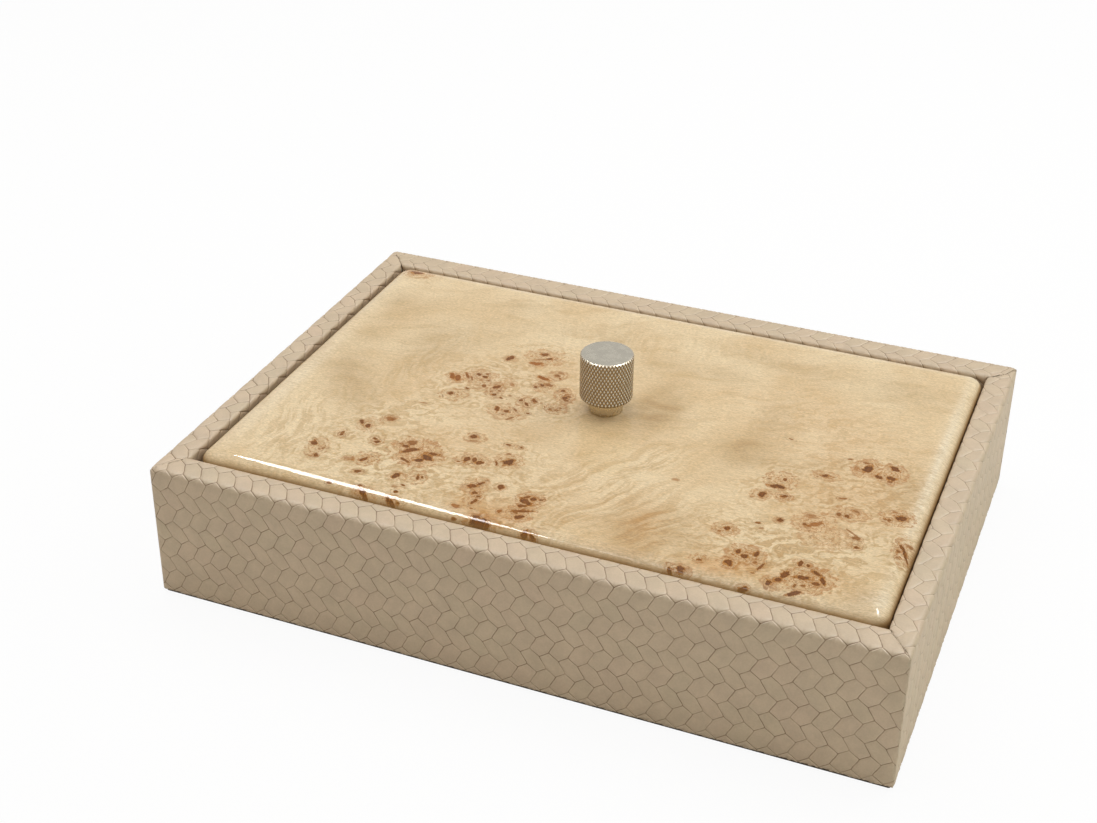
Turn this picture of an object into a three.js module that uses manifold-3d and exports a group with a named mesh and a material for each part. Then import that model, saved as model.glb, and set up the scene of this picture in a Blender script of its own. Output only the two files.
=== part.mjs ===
// A leather covered keepsake box with a lift-off lid of burl veneer and a knurled metal knob.
// Millimetres, Z up. The origin is the middle of the underside, X runs along the box, and -Y is the front.
import * as THREE from 'three';
import { mergeVertices } from 'three/addons/utils/BufferGeometryUtils.js';
import Module from 'manifold-3d';

const wasm = await Module();
wasm.setup();

// Outside of the covered box
const boxLength = 280;
const boxDepth = 202;
const boxHeight = 55.2;
const sideRim = 10;
const frontRim = 12.8;
const cornerRound = 0.8;

// Sheets, glue and seams
const leather = 0.8;
const lining = 0.8;
const floorLining = 1.2;
const felt = 1;
const glueLine = 0.1;
const seamGap = 0.1;

// Wall boards
const boardOuterRound = 0.7;
const boardInnerRound = 0.2;
const hemRound = 0.6;
const turnUnder = 4.3;
const rebateWidth = 4;
const basePanel = 4;
const basePanelPlay = 0.3;
const feltInset = 1.2;

// Liner boards that carry the lid
const ledge = 4;
const liningRound = 0.6;
const floorPlay = 0.3;
const seatGap = 0.3;

// Lid
const lidPlay = 1.25;
const lidRestsRight = 0.6;
const lidProud = 1.4;
const lidThickness = 9.2;
const lidCornerRadius = 6;
const bullnose = 4.2;
const veneer = 0.8;
const lidSheet = 0.8;
const lidSheetInset = 0.6;

// Knob
const knobDiameter = 20.4;
const knobHeadHeight = 18;
const knobEdge = 0.6;
const neckDiameter = 13.2;
const neckHeight = 6;
const knobSetBack = 2.5;
const knobSetLeft = 0.9;

// Knob screw, its washer and the well for them
const screwDiameter = 4;
const screwHeadDiameter = 7.8;
const screwHead = 2.4;
const screwReach = 9;
const screwTip = 0.5;
const screwSlotLength = 4.4;
const screwSlotWidth = 0.9;
const screwSlotDepth = 1.2;
const washerDiameter = 10;
const washer = 0.8;
const wellDiameter = 12;
const wellDepth = 4.4;
const screwPlay = 0.2;
const threadPlay = 0.12;
const boreSpare = 1;

// Brads that pin the corners
const bradDiameter = 1.4;
const bradHeadDiameter = 2.2;
const bradHead = 0.5;
const bradLength = 25;
const bradPoint = 1.6;
const bradPlay = 0.1;
const bradHeightShares = { lower: 0.3, upper: 0.72 };

// One overrun serves every cut, and these counts every round shape
const overrun = 1;
const filletSteps = 3;
const bullnoseSteps = 6;
const cornerSteps = 6;
const knobSides = 48;
const smallSides = 12;

// Levels and faces that follow from the sizes
const boardSet = leather + glueLine;
const wrapBottom = felt;
const boardBottom = wrapBottom + boardSet;
const boardTop = boxHeight - boardSet;
const basePanelTop = wrapBottom + basePanel;
const floorLevel = basePanelTop + glueLine;
const lidTop = boxHeight + lidProud;
const lidUnder = lidTop - lidThickness;
const lidCoreBottom = lidUnder + lidSheet + glueLine;
const seatTop = lidUnder - seatGap;
const ledgeTop = seatTop - lining - glueLine;
const lidHalfLength = boxLength / 2 - sideRim - lidPlay;
const lidHalfDepth = boxDepth / 2 - frontRim - lidPlay;

const walls = {
  front: { turns: 0, rim: frontRim, endRim: sideRim, half: boxLength / 2, reach: boxDepth / 2 },
  right: { turns: 1, rim: sideRim, endRim: frontRim, half: boxDepth / 2, reach: boxLength / 2 },
  back: { turns: 2, rim: frontRim, endRim: sideRim, half: boxLength / 2, reach: boxDepth / 2 },
  left: { turns: 3, rim: sideRim, endRim: frontRim, half: boxDepth / 2, reach: boxLength / 2 },
};

// Finishes
const fibreboard = new THREE.MeshStandardMaterial({ color: 0xa98a63, roughness: 0.9, metalness: 0 });
const creamLeather = new THREE.MeshStandardMaterial({ color: 0xcbb596, roughness: 0.6, metalness: 0 });
const suede = new THREE.MeshStandardMaterial({ color: 0xb9a58b, roughness: 1, metalness: 0 });
const darkFelt = new THREE.MeshStandardMaterial({ color: 0x4c4a4c, roughness: 1, metalness: 0 });
const burl = new THREE.MeshStandardMaterial({ color: 0xdcc296, roughness: 0.15, metalness: 0 });
const nickel = new THREE.MeshStandardMaterial({ color: 0xb5ada0, roughness: 0.3, metalness: 1 });
const steel = new THREE.MeshStandardMaterial({ color: 0x9b9b9d, roughness: 0.4, metalness: 1 });

// Points of an arc in the plane of an outline, or its one centre where the radius is nothing
function arc(centreU, centreV, radius, from, to, steps) {
  if (radius <= 0) {
    return [new THREE.Vector2(centreU, centreV)];
  }
  const points = [];
  for (let i = 0; i <= steps; i += 1) {
    const angle = from + ((to - from) * i) / steps;
    points.push(new THREE.Vector2(centreU + radius * Math.cos(angle), centreV + radius * Math.sin(angle)));
  }
  return points;
}

// A closed geometry from vertex and triangle lists
function meshOf(vertices, triangles) {
  const geometry = new THREE.BufferGeometry();
  geometry.setAttribute('position', new THREE.Float32BufferAttribute(vertices, 3));
  geometry.setIndex(triangles);
  return geometry;
}

// A three.js geometry as a solid that can be cut
function solidOf(geometry) {
  const bare = geometry.clone();
  bare.deleteAttribute('normal');
  bare.deleteAttribute('uv');
  const merged = mergeVertices(bare);
  return new wasm.Manifold(new wasm.Mesh({
    numProp: 3,
    vertProperties: new Float32Array(merged.attributes.position.array),
    triVerts: new Uint32Array(merged.index.array),
  }));
}

// A cut solid as a three.js geometry again
function geometryOf(solid) {
  const mesh = solid.getMesh();
  return meshOf(Array.from(mesh.vertProperties), Array.from(mesh.triVerts));
}

function cut(geometry, tools) {
  return geometryOf(tools.reduce((solid, tool) => solid.subtract(solidOf(tool)), solidOf(geometry)));
}

// A round bar or hole along Z between two levels
function bar(diameter, low, high, sides = smallSides) {
  const geometry = new THREE.CylinderGeometry(diameter / 2, diameter / 2, high - low, sides);
  geometry.rotateX(Math.PI / 2);
  geometry.translate(0, 0, (low + high) / 2);
  return geometry;
}

// A rectangular block between two corners
function block(lowX, highX, lowY, highY, lowZ, highZ) {
  const geometry = new THREE.BoxGeometry(highX - lowX, highY - lowY, highZ - lowZ);
  geometry.translate((lowX + highX) / 2, (lowY + highY) / 2, (lowZ + highZ) / 2);
  return geometry;
}

// A strip along a wall: its outline is drawn as distance in from the wall's outer face and height,
// and each point runs to the half length that endAt gives for that distance
function wallStrip(wall, outline, endAt) {
  const count = outline.length;
  const vertices = [];
  for (const side of [-1, 1]) {
    for (const point of outline) {
      vertices.push(side * endAt(point.x), point.x - wall.reach, point.y);
    }
  }
  const triangles = [];
  for (let i = 0; i < count; i += 1) {
    const next = (i + 1) % count;
    triangles.push(i, next, count + next, i, count + next, count + i);
  }
  for (const [a, b, c] of THREE.ShapeUtils.triangulateShape(outline, [])) {
    triangles.push(a, c, b, count + a, count + b, count + c);
  }
  const geometry = meshOf(vertices, triangles);
  geometry.rotateZ((wall.turns * Math.PI) / 2);
  return geometry;
}

// Outline of a plate with round corners
function roundedPlate(halfX, halfY, radius) {
  const inX = halfX - radius;
  const inY = halfY - radius;
  const quarter = Math.PI / 2;
  return [
    ...arc(inX, inY, radius, 0, quarter, cornerSteps),
    ...arc(-inX, inY, radius, quarter, 2 * quarter, cornerSteps),
    ...arc(-inX, -inY, radius, 2 * quarter, 3 * quarter, cornerSteps),
    ...arc(inX, -inY, radius, 3 * quarter, 4 * quarter, cornerSteps),
  ];
}

function plate(halfX, halfY, radius, low, high) {
  const shape = new THREE.Shape(roundedPlate(halfX, halfY, radius));
  const geometry = new THREE.ExtrudeGeometry(shape, { depth: high - low, bevelEnabled: false });
  geometry.translate(0, 0, low);
  return geometry;
}

// How far a mitred corner comes along the next wall, for a distance in from this wall's outer face:
// 45 degrees across the leather on either side, and straight from one to the other between
function mitreAcross(wall, distance) {
  const inner = wall.rim - leather;
  const innerEnd = wall.endRim - leather;
  if (distance <= leather) {
    return distance;
  }
  if (distance >= inner) {
    return innerEnd + distance - inner;
  }
  return leather + ((distance - leather) * (innerEnd - leather)) / (inner - leather);
}

// Leather cover of one wall: turned under, up the outside, over the rim and down the inside
function wrap(wall) {
  const outerRound = boardOuterRound + boardSet;
  const innerRound = boardInnerRound + boardSet;
  const half = Math.PI / 2;
  const outline = [
    new THREE.Vector2(turnUnder, wrapBottom),
    new THREE.Vector2(turnUnder, wrapBottom + leather),
    new THREE.Vector2(leather, wrapBottom + leather),
    ...arc(outerRound, boxHeight - outerRound, outerRound - leather, 2 * half, half, filletSteps),
    ...arc(wall.rim - innerRound, boxHeight - innerRound, innerRound - leather, half, 0, filletSteps),
    new THREE.Vector2(wall.rim - leather, floorLevel),
    new THREE.Vector2(wall.rim, floorLevel),
    ...arc(wall.rim - innerRound, boxHeight - innerRound, innerRound, 0, half, filletSteps),
    ...arc(outerRound, boxHeight - outerRound, outerRound, half, 2 * half, filletSteps),
    ...arc(hemRound, wrapBottom + hemRound, hemRound, 2 * half, 3 * half, filletSteps),
  ];
  const strip = wallStrip(wall, outline, (distance) => wall.half - mitreAcross(wall, distance) - seamGap / 2);
  const roundedCorners = plate(boxLength / 2, boxDepth / 2, cornerRound, 0, boxHeight + overrun);
  return geometryOf(solidOf(strip).intersect(solidOf(roundedCorners)));
}

// Fibreboard wall, with a rebate along its lower inner edge for the base panel
function wallBoard(wall, halfLength) {
  const inner = wall.rim - boardSet;
  const half = Math.PI / 2;
  const outerU = boardSet + boardOuterRound;
  const innerU = inner - boardInnerRound;
  const outline = [
    new THREE.Vector2(boardSet, boardBottom),
    ...arc(outerU, boardTop - boardOuterRound, boardOuterRound, 2 * half, half, filletSteps),
    ...arc(innerU, boardTop - boardInnerRound, boardInnerRound, half, 0, filletSteps),
    new THREE.Vector2(inner, floorLevel),
    new THREE.Vector2(inner - rebateWidth, floorLevel),
    new THREE.Vector2(inner - rebateWidth, boardBottom),
  ].reverse();
  return wallStrip(wall, outline, () => halfLength);
}

// Each corner's brads: through the front or back wall, into the end of a side wall
function bradPlaces() {
  const places = [];
  for (const face of ['front', 'back']) {
    for (const end of ['left', 'right']) {
      for (const [level, share] of Object.entries(bradHeightShares)) {
        places.push({
          name: `${face}_${end}_${level}_brad`,
          out: face === 'front' ? -1 : 1,
          x: (end === 'left' ? -1 : 1) * (boxLength / 2 - sideRim / 2),
          y: boxDepth / 2 - boardSet,
          z: share * boxHeight,
        });
      }
    }
  }
  return places;
}

// Turns a piece made along Z, head at zero and pointing down, to lie in a wall
function layBrad(geometry, place) {
  geometry.rotateX(place.out * Math.PI / 2);
  geometry.rotateX(Math.PI);
  geometry.translate(place.x, place.out * place.y, place.z);
  return geometry;
}

function brad(place) {
  const profile = [
    new THREE.Vector2(0, -bradLength),
    new THREE.Vector2(bradDiameter / 2, bradPoint - bradLength),
    new THREE.Vector2(bradDiameter / 2, -bradHead),
    new THREE.Vector2(bradHeadDiameter / 2, -bradHead),
    new THREE.Vector2(bradHeadDiameter / 2, 0),
    new THREE.Vector2(0, 0),
  ];
  return layBrad(new THREE.LatheGeometry(profile, smallSides).rotateX(Math.PI / 2), place);
}

function bradHole(place) {
  const hole = [
    bar(bradDiameter + 2 * bradPlay, -bradLength - bradPlay, overrun),
    bar(bradHeadDiameter + 2 * bradPlay, -bradHead - bradPlay, overrun),
  ];
  return hole.map((geometry) => layBrad(geometry, place));
}

// The boards' outline seen from the front, with the rounded top edges that the side covers fold over
function carcassEnvelope() {
  const far = boxLength - boardSet;
  const half = Math.PI / 2;
  const outline = [
    new THREE.Vector2(boardSet, boardBottom),
    new THREE.Vector2(far, boardBottom),
    ...arc(far - boardOuterRound, boardTop - boardOuterRound, boardOuterRound, 0, half, filletSteps),
    ...arc(boardSet + boardOuterRound, boardTop - boardOuterRound, boardOuterRound, half, 2 * half, filletSteps),
  ];
  return wallStrip(walls.right, outline, () => boxDepth / 2);
}

function wallBoards() {
  const holes = bradPlaces().flatMap(bradHole);
  const longHalf = boxLength / 2 - boardSet;
  const shortHalf = boxDepth / 2 - (frontRim - boardSet) - glueLine;
  const envelope = solidOf(carcassEnvelope());
  const longBoard = (wall) => geometryOf(solidOf(wallBoard(wall, longHalf)).intersect(envelope));
  return {
    front_board: cut(longBoard(walls.front), holes),
    back_board: cut(longBoard(walls.back), holes),
    left_board: cut(wallBoard(walls.left, shortHalf), holes),
    right_board: cut(wallBoard(walls.right, shortHalf), holes),
  };
}

function basePanelPiece() {
  const halfX = boxLength / 2 - sideRim + boardSet + rebateWidth - basePanelPlay;
  const halfY = boxDepth / 2 - frontRim + boardSet + rebateWidth - basePanelPlay;
  return block(-halfX, halfX, -halfY, halfY, wrapBottom, basePanelTop);
}

function baseFelt() {
  const halfX = boxLength / 2 - feltInset;
  const halfY = boxDepth / 2 - feltInset;
  return plate(halfX, halfY, cornerRound, 0, felt);
}

// Liner board inside one wall; the front and back ones run the full length
function ledgeBoard(wall, halfLength) {
  const low = wall.rim + glueLine;
  const outline = [
    new THREE.Vector2(low, floorLevel),
    new THREE.Vector2(low + ledge, floorLevel),
    new THREE.Vector2(low + ledge, ledgeTop),
    new THREE.Vector2(low, ledgeTop),
  ];
  return wallStrip(wall, outline, () => halfLength);
}

// Suede over a liner board: across its top, where the lid rests, and down its face to the floor
function ledgeLining(wall) {
  const back = wall.rim + glueLine + ledge + glueLine;
  const face = back + lining;
  const outline = [
    new THREE.Vector2(back, floorLevel),
    new THREE.Vector2(face, floorLevel),
    ...arc(face - liningRound, seatTop - liningRound, liningRound, 0, Math.PI / 2, filletSteps),
    new THREE.Vector2(wall.rim + glueLine, seatTop),
    new THREE.Vector2(wall.rim + glueLine, seatTop - lining),
    new THREE.Vector2(back, seatTop - lining),
  ];
  return wallStrip(wall, outline, (distance) => wall.half - wall.endRim - (distance - wall.rim) - seamGap / 2);
}

function floorLiningPiece() {
  const inset = 2 * glueLine + ledge + lining + floorPlay;
  const halfX = boxLength / 2 - sideRim - inset;
  const halfY = boxDepth / 2 - frontRim - inset;
  return block(-halfX, halfX, -halfY, halfY, floorLevel, floorLevel + floorLining);
}

// A solid whose level outlines are plates with round corners: each step gives an inset and a height,
// from the outer bottom edge over the top, and for a hollow one back down the inside
function ringSolid(steps, hollow) {
  const rings = steps.map(({ inset, height }) => {
    const outline = roundedPlate(lidHalfLength - inset, lidHalfDepth - inset, lidCornerRadius - inset);
    return outline.map((point) => [point.x, point.y, height]);
  });
  const count = rings[0].length;
  const vertices = rings.flat(2);
  const triangles = [];
  const join = (low, high) => {
    for (let i = 0; i < count; i += 1) {
      const next = (i + 1) % count;
      triangles.push(low * count + i, low * count + next, high * count + next);
      triangles.push(low * count + i, high * count + next, high * count + i);
    }
  };
  const cap = (ring, up) => {
    const centre = vertices.length / 3;
    vertices.push(0, 0, rings[ring][0][2]);
    for (let i = 0; i < count; i += 1) {
      const next = (i + 1) % count;
      const pair = up ? [i, next] : [next, i];
      triangles.push(centre, ring * count + pair[0], ring * count + pair[1]);
    }
  };
  const last = rings.length - 1;
  if (!hollow) {
    for (let ring = 0; ring < last; ring += 1) {
      join(ring, ring + 1);
    }
    cap(last, true);
    cap(0, false);
    return meshOf(vertices, triangles);
  }
  const middle = rings.length / 2;
  for (let ring = 0; ring < last; ring += 1) {
    if (ring !== middle - 1) {
      join(ring, ring + 1);
    }
  }
  cap(middle - 1, true);
  cap(middle, false);
  join(last, 0);
  return meshOf(vertices, triangles);
}

// Insets and heights up the lid's edge and round its bullnose, at a depth below the outer surface
function edgeSteps(depth, bottom) {
  const radius = bullnose - depth;
  const round = arc(bullnose, lidTop - bullnose, radius, Math.PI, Math.PI / 2, bullnoseSteps);
  return [
    { inset: depth, height: bottom },
    ...round.map((point) => ({ inset: point.x, height: point.y })),
  ];
}

function lidVeneer() {
  const outside = edgeSteps(0, lidCoreBottom);
  const inside = edgeSteps(veneer, lidCoreBottom).reverse();
  const cap = ringSolid([...outside, ...inside], true);
  return cut(cap, [screwPassage()]);
}

function lidCore() {
  const core = ringSolid(edgeSteps(veneer + glueLine, lidCoreBottom), false);
  return cut(core, [screwPassage(), screwWell()]);
}

function lidSheetPiece() {
  const radius = lidCornerRadius - lidSheetInset;
  const sheet = plate(lidHalfLength - lidSheetInset, lidHalfDepth - lidSheetInset, radius, lidUnder, lidUnder + lidSheet);
  return cut(sheet, [screwWell()]);
}

// Everything on the knob's axis stands at the same place
function onKnobAxis(geometry) {
  return geometry.translate(-knobSetLeft, knobSetBack, 0);
}

function screwPassage() {
  return onKnobAxis(bar(screwDiameter + 2 * screwPlay, lidUnder - overrun, lidTop + overrun));
}

function screwWell() {
  return onKnobAxis(bar(wellDiameter, lidUnder - overrun, lidUnder + wellDepth, knobSides));
}

function lathe(profile, sides) {
  return onKnobAxis(new THREE.LatheGeometry(profile, sides).rotateX(Math.PI / 2));
}

// Turned knob with a blind threaded bore from below
function knob() {
  const bore = screwDiameter / 2 + threadPlay;
  const boreEnd = lidTop + screwReach + boreSpare;
  const headBottom = lidTop + neckHeight;
  const headTop = headBottom + knobHeadHeight;
  const radius = knobDiameter / 2;
  return lathe([
    new THREE.Vector2(0, boreEnd),
    new THREE.Vector2(bore, boreEnd),
    new THREE.Vector2(bore, lidTop),
    new THREE.Vector2(neckDiameter / 2, lidTop),
    new THREE.Vector2(neckDiameter / 2, headBottom),
    new THREE.Vector2(radius - knobEdge, headBottom),
    new THREE.Vector2(radius, headBottom + knobEdge),
    new THREE.Vector2(radius, headTop - knobEdge),
    new THREE.Vector2(radius - knobEdge, headTop),
    new THREE.Vector2(0, headTop),
  ], knobSides);
}

// The screw's head bears on the washer, and the washer on the floor of the well
const washerTop = lidUnder + wellDepth - glueLine;
const screwHeadTop = washerTop - washer - glueLine;

function washerPiece() {
  const inner = screwDiameter / 2 + screwPlay;
  return lathe([
    new THREE.Vector2(inner, washerTop),
    new THREE.Vector2(inner, washerTop - washer),
    new THREE.Vector2(washerDiameter / 2, washerTop - washer),
    new THREE.Vector2(washerDiameter / 2, washerTop),
    new THREE.Vector2(inner, washerTop),
  ], knobSides / 2);
}

function knobScrew() {
  const headBottom = screwHeadTop - screwHead;
  const tip = lidTop + screwReach;
  const radius = screwDiameter / 2;
  const body = lathe([
    new THREE.Vector2(0, headBottom),
    new THREE.Vector2(screwHeadDiameter / 2 - screwTip, headBottom),
    new THREE.Vector2(screwHeadDiameter / 2, headBottom + screwTip),
    new THREE.Vector2(screwHeadDiameter / 2, screwHeadTop),
    new THREE.Vector2(radius, screwHeadTop),
    new THREE.Vector2(radius, tip - screwTip),
    new THREE.Vector2(radius - screwTip, tip),
    new THREE.Vector2(0, tip),
  ], knobSides / 2);
  const long = screwSlotLength / 2;
  const wide = screwSlotWidth / 2;
  const low = headBottom - overrun;
  const high = headBottom + screwSlotDepth;
  return cut(body, [
    onKnobAxis(block(-long, long, -wide, wide, low, high)),
    onKnobAxis(block(-wide, wide, -long, long, low, high)),
  ]);
}

function add(parent, name, geometry, material) {
  const mesh = new THREE.Mesh(geometry, material);
  mesh.name = name;
  parent.add(mesh);
}

function buildBox() {
  const box = new THREE.Group();
  for (const [name, geometry] of Object.entries(wallBoards())) {
    add(box, name, geometry, fibreboard);
  }
  for (const place of bradPlaces()) {
    add(box, place.name, brad(place), steel);
  }
  for (const [side, wall] of Object.entries(walls)) {
    add(box, `${side}_wrap`, wrap(wall), creamLeather);
    const corner = wall.turns % 2 === 0 ? 0 : ledge + glueLine;
    add(box, `${side}_ledge`, ledgeBoard(wall, wall.half - wall.endRim - glueLine - corner), fibreboard);
    add(box, `${side}_lining`, ledgeLining(wall), suede);
  }
  add(box, 'base_panel', basePanelPiece(), fibreboard);
  add(box, 'base_felt', baseFelt(), darkFelt);
  add(box, 'floor_lining', floorLiningPiece(), suede);
  return box;
}

function buildLid() {
  const lid = new THREE.Group();
  add(lid, 'lid_core', lidCore(), fibreboard);
  add(lid, 'lid_veneer', lidVeneer(), burl);
  add(lid, 'lid_sheet', lidSheetPiece(), suede);
  add(lid, 'knob', knob(), nickel);
  add(lid, 'knob_screw', knobScrew(), steel);
  add(lid, 'knob_washer', washerPiece(), steel);
  lid.position.x = lidRestsRight;
  return lid;
}

const group = new THREE.Group();
group.add(buildBox());
group.add(buildLid());

export default group;
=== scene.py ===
# A leather covered keepsake box with a lift-off burl lid and a knurled knob, dressed for its picture.
import math

import bmesh
import bpy
import numpy as np
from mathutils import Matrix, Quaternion, Vector


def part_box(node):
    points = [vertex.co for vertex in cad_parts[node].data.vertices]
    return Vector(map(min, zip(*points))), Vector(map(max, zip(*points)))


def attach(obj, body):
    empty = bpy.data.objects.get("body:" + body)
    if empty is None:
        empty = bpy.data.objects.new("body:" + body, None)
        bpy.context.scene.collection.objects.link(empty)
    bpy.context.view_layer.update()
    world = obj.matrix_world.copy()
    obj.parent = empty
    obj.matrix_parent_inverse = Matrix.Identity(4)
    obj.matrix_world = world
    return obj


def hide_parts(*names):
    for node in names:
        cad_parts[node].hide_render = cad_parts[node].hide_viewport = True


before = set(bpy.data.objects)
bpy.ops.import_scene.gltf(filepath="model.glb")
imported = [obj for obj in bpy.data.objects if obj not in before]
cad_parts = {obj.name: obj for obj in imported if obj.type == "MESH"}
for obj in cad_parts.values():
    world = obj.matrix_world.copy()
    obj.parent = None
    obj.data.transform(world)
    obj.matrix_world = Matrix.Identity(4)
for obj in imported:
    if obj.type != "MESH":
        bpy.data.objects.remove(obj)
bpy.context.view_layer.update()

mm = 0.001


# Camera
# It stands where the photograph was taken from: in front and to the right of the box, looking down.
# Its lens, its small shift and its turn come from the corners of the box in the 1097 by 823 picture.
camera_place = (0.195596, -0.54652, 0.400629)
camera_aim = np.array([-0.339552, 0.800247, -0.494277])
camera_turn = math.radians(0.049)
camera_lens = bpy.data.cameras.new("camera")
camera_lens.sensor_fit = "HORIZONTAL"
camera_lens.sensor_width = 36
camera_lens.lens = 57.6346
camera_lens.shift_x = 0.02874
camera_lens.shift_y = -0.0296
camera_lens.clip_start = 0.01
camera = bpy.data.objects.new("camera", camera_lens)
ahead = camera_aim / np.linalg.norm(camera_aim)
across = np.cross(ahead, [0, 0, 1])
across = across / np.linalg.norm(across)
upright = np.cross(across, ahead)
turned_across = math.cos(camera_turn) * across + math.sin(camera_turn) * upright
turned_up = math.cos(camera_turn) * upright - math.sin(camera_turn) * across
for column, axis in enumerate((turned_across, turned_up, -ahead, camera_place)):
    for row in range(3):
        camera.matrix_world[row][column] = axis[row]
bpy.context.scene.collection.objects.link(camera)
bpy.context.scene.camera = camera


# Fibreboard
# The walls, the base, the liner boards and the lid's core are sawn from brown fibreboard.
# Its faces are smooth with fine flecks, and it carries every covering.
board_colour = (0.30, 0.195, 0.105, 1)
board_fleck = (0.42, 0.29, 0.17, 1)
fleck_scale = 900
board_nodes = [
    "front_board", "back_board", "left_board", "right_board", "base_panel",
    "front_ledge", "back_ledge", "left_ledge", "right_ledge", "lid_core",
]


def finish(name):
    """A node material, its tree and its shader, ready to be wired."""
    material = bpy.data.materials.new(name)
    material.use_nodes = True
    return material, material.node_tree, material.node_tree.nodes["Principled BSDF"]


def wire(tree, value, socket):
    """Links value to the socket where it is a socket, and otherwise sets it there."""
    if isinstance(value, bpy.types.NodeSocket):
        tree.links.new(value, socket)
    else:
        socket.default_value = value


def add_node(tree, kind, inputs=None, **settings):
    """A node of that kind with its settings, its named inputs linked or set."""
    made = tree.nodes.new("ShaderNode" + kind)
    for setting, value in settings.items():
        setattr(made, setting, value)
    for socket, value in (inputs or {}).items():
        wire(tree, value, made.inputs[socket])
    return made


def calc(tree, operation, *values):
    """The result of one Math node on numbers or sockets."""
    return add_node(tree, "Math", dict(enumerate(values)), operation=operation).outputs[0]


def mix_colours(tree, share, first, second, how="MIX"):
    """The first colour turned towards the second by a share from 0 to 1."""
    settings = {"data_type": "RGBA", "blend_type": how}
    return add_node(tree, "Mix", {0: share, 6: first, 7: second}, **settings).outputs[2]


def ramp(tree, value, low, high, to_low=0.0, to_high=1.0):
    """A value from low to high, eased to run from to_low to to_high and held beyond them."""
    inputs = dict(enumerate((value, low, high, to_low, to_high)))
    return add_node(tree, "MapRange", inputs, interpolation_type="SMOOTHSTEP").outputs[0]


def place_on(tree):
    """The point's own place on the piece, in metres."""
    return add_node(tree, "TexCoord").outputs["Object"]


def noise(tree, where, scale, detail=2.0, roughness=0.5, distortion=0.0):
    """Cloudy noise from 0 to 1, with scale features to the metre."""
    inputs = {"Vector": where, "Scale": scale, "Detail": detail}
    inputs.update({"Roughness": roughness, "Distortion": distortion})
    return add_node(tree, "TexNoise", inputs).outputs["Fac"]


def relief(tree, shader, height, strength, depth, socket="Normal"):
    """Raises the surface by a height from 0 to 1, that deep in metres, over any relief already there."""
    inputs = {"Height": height, "Strength": strength, "Distance": depth}
    for link in shader.inputs[socket].links:
        inputs["Normal"] = link.from_socket
    wire(tree, add_node(tree, "Bump", inputs).outputs[0], shader.inputs[socket])


def dress(names, material):
    """Gives CAD nodes that keep their shape a finish."""
    for node_name in names:
        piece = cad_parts[node_name]
        piece.data.materials.clear()
        piece.data.materials.append(material)


fibreboard, tree, shader = finish("fibreboard")
flecks = noise(tree, place_on(tree), fleck_scale, detail=4, roughness=0.7)
board_shade = mix_colours(tree, ramp(tree, flecks, 0.42, 0.62), board_colour, board_fleck)
wire(tree, board_shade, shader.inputs["Base Color"])
relief(tree, shader, flecks, 0.2, 0.1 * mm)
shader.inputs["Roughness"].default_value = 0.85
dress(board_nodes, fibreboard)


# Steel fasteners
# Eight wire brads pin the corners, and a zinc plated screw with its washer holds the knob.
# They keep their turned shapes and get a dull plated finish with faint wear.
steel_colour = (0.56, 0.56, 0.57, 1)
steel_worn = (0.38, 0.38, 0.40, 1)
wear_scale = 700
steel_nodes = ["knob_screw", "knob_washer"]
for face in ("front", "back"):
    for end in ("left", "right"):
        for level in ("lower", "upper"):
            steel_nodes.append(f"{face}_{end}_{level}_brad")
zinc_steel, tree, shader = finish("zinc_steel")
wear = noise(tree, place_on(tree), wear_scale, detail=5, roughness=0.65)
worn_shade = mix_colours(tree, ramp(tree, wear, 0.4, 0.7), steel_colour, steel_worn)
wire(tree, worn_shade, shader.inputs["Base Color"])
wire(tree, ramp(tree, wear, 0.3, 0.8, 0.28, 0.5), shader.inputs["Roughness"])
shader.inputs["Metallic"].default_value = 1
dress(steel_nodes, zinc_steel)


# Leather covers
# One cover goes over each wall: turned under at the base, up the outside, over the rim and down inside.
# Cream leather, pressed all over with a plaited pattern of six sided cells, glued down and butted at
# the corners. At the back right corner the side cover laps over the back one in a curved seam.
sides = ("front", "right", "back", "left")


def corners_of(node_name):
    """The lowest and highest corner of a CAD node, in millimetres."""
    low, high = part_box(node_name)
    return np.array(low) / mm, np.array(high) / mm


front_low, front_high = corners_of("front_wrap")
side_low, side_high = corners_of("right_wrap")
seam = 0.05
seam_softness = 0.6
half_length = side_high[0]
half_depth = -front_low[1]
rim_top = front_high[2]
cover_bottom = front_low[2]
front_rim = front_high[1] + half_depth
side_rim = half_length - side_low[0]
inner_foot = 5.1
turn_under = 4.3
leather_body = 0.55
hem_radius = 0.6
outer_radius = 1.6
inner_radius = 1.1
visible_inside = 14
# The plait: its pitch along and down, the drops of its zigzags and strokes, and its pressed lines
cell_pitch = 7.13
cell_period = 14.76
peak_drop = 2.55
down_stroke = 4.6
point_drop = 2.5
stroke_lean = 2.5
line_edge = 0.25
row_edge = 0.28
line_shoulder = 0.7
row_shoulder = 0.75
groove_depth = 0.2
groove_width = 0.24
pillow_rise = 0.13
pillow_width = 0.75
line_wander = 0.14
row_drift = 0.0244
# Over the front rim the leather was stretched, and its pattern with it, from this height on
stretch_start = 54
stretch_run = 7
rim_stretch = 1.4
# Where each cover's plait starts on its flat, as places on the box in plan
plait_start = {
    "front": (3.35, 48.8), "right": (132.835, -78.85), "back": (-86.465, 93.95), "left": (-129.735, -81.15),
}
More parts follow.
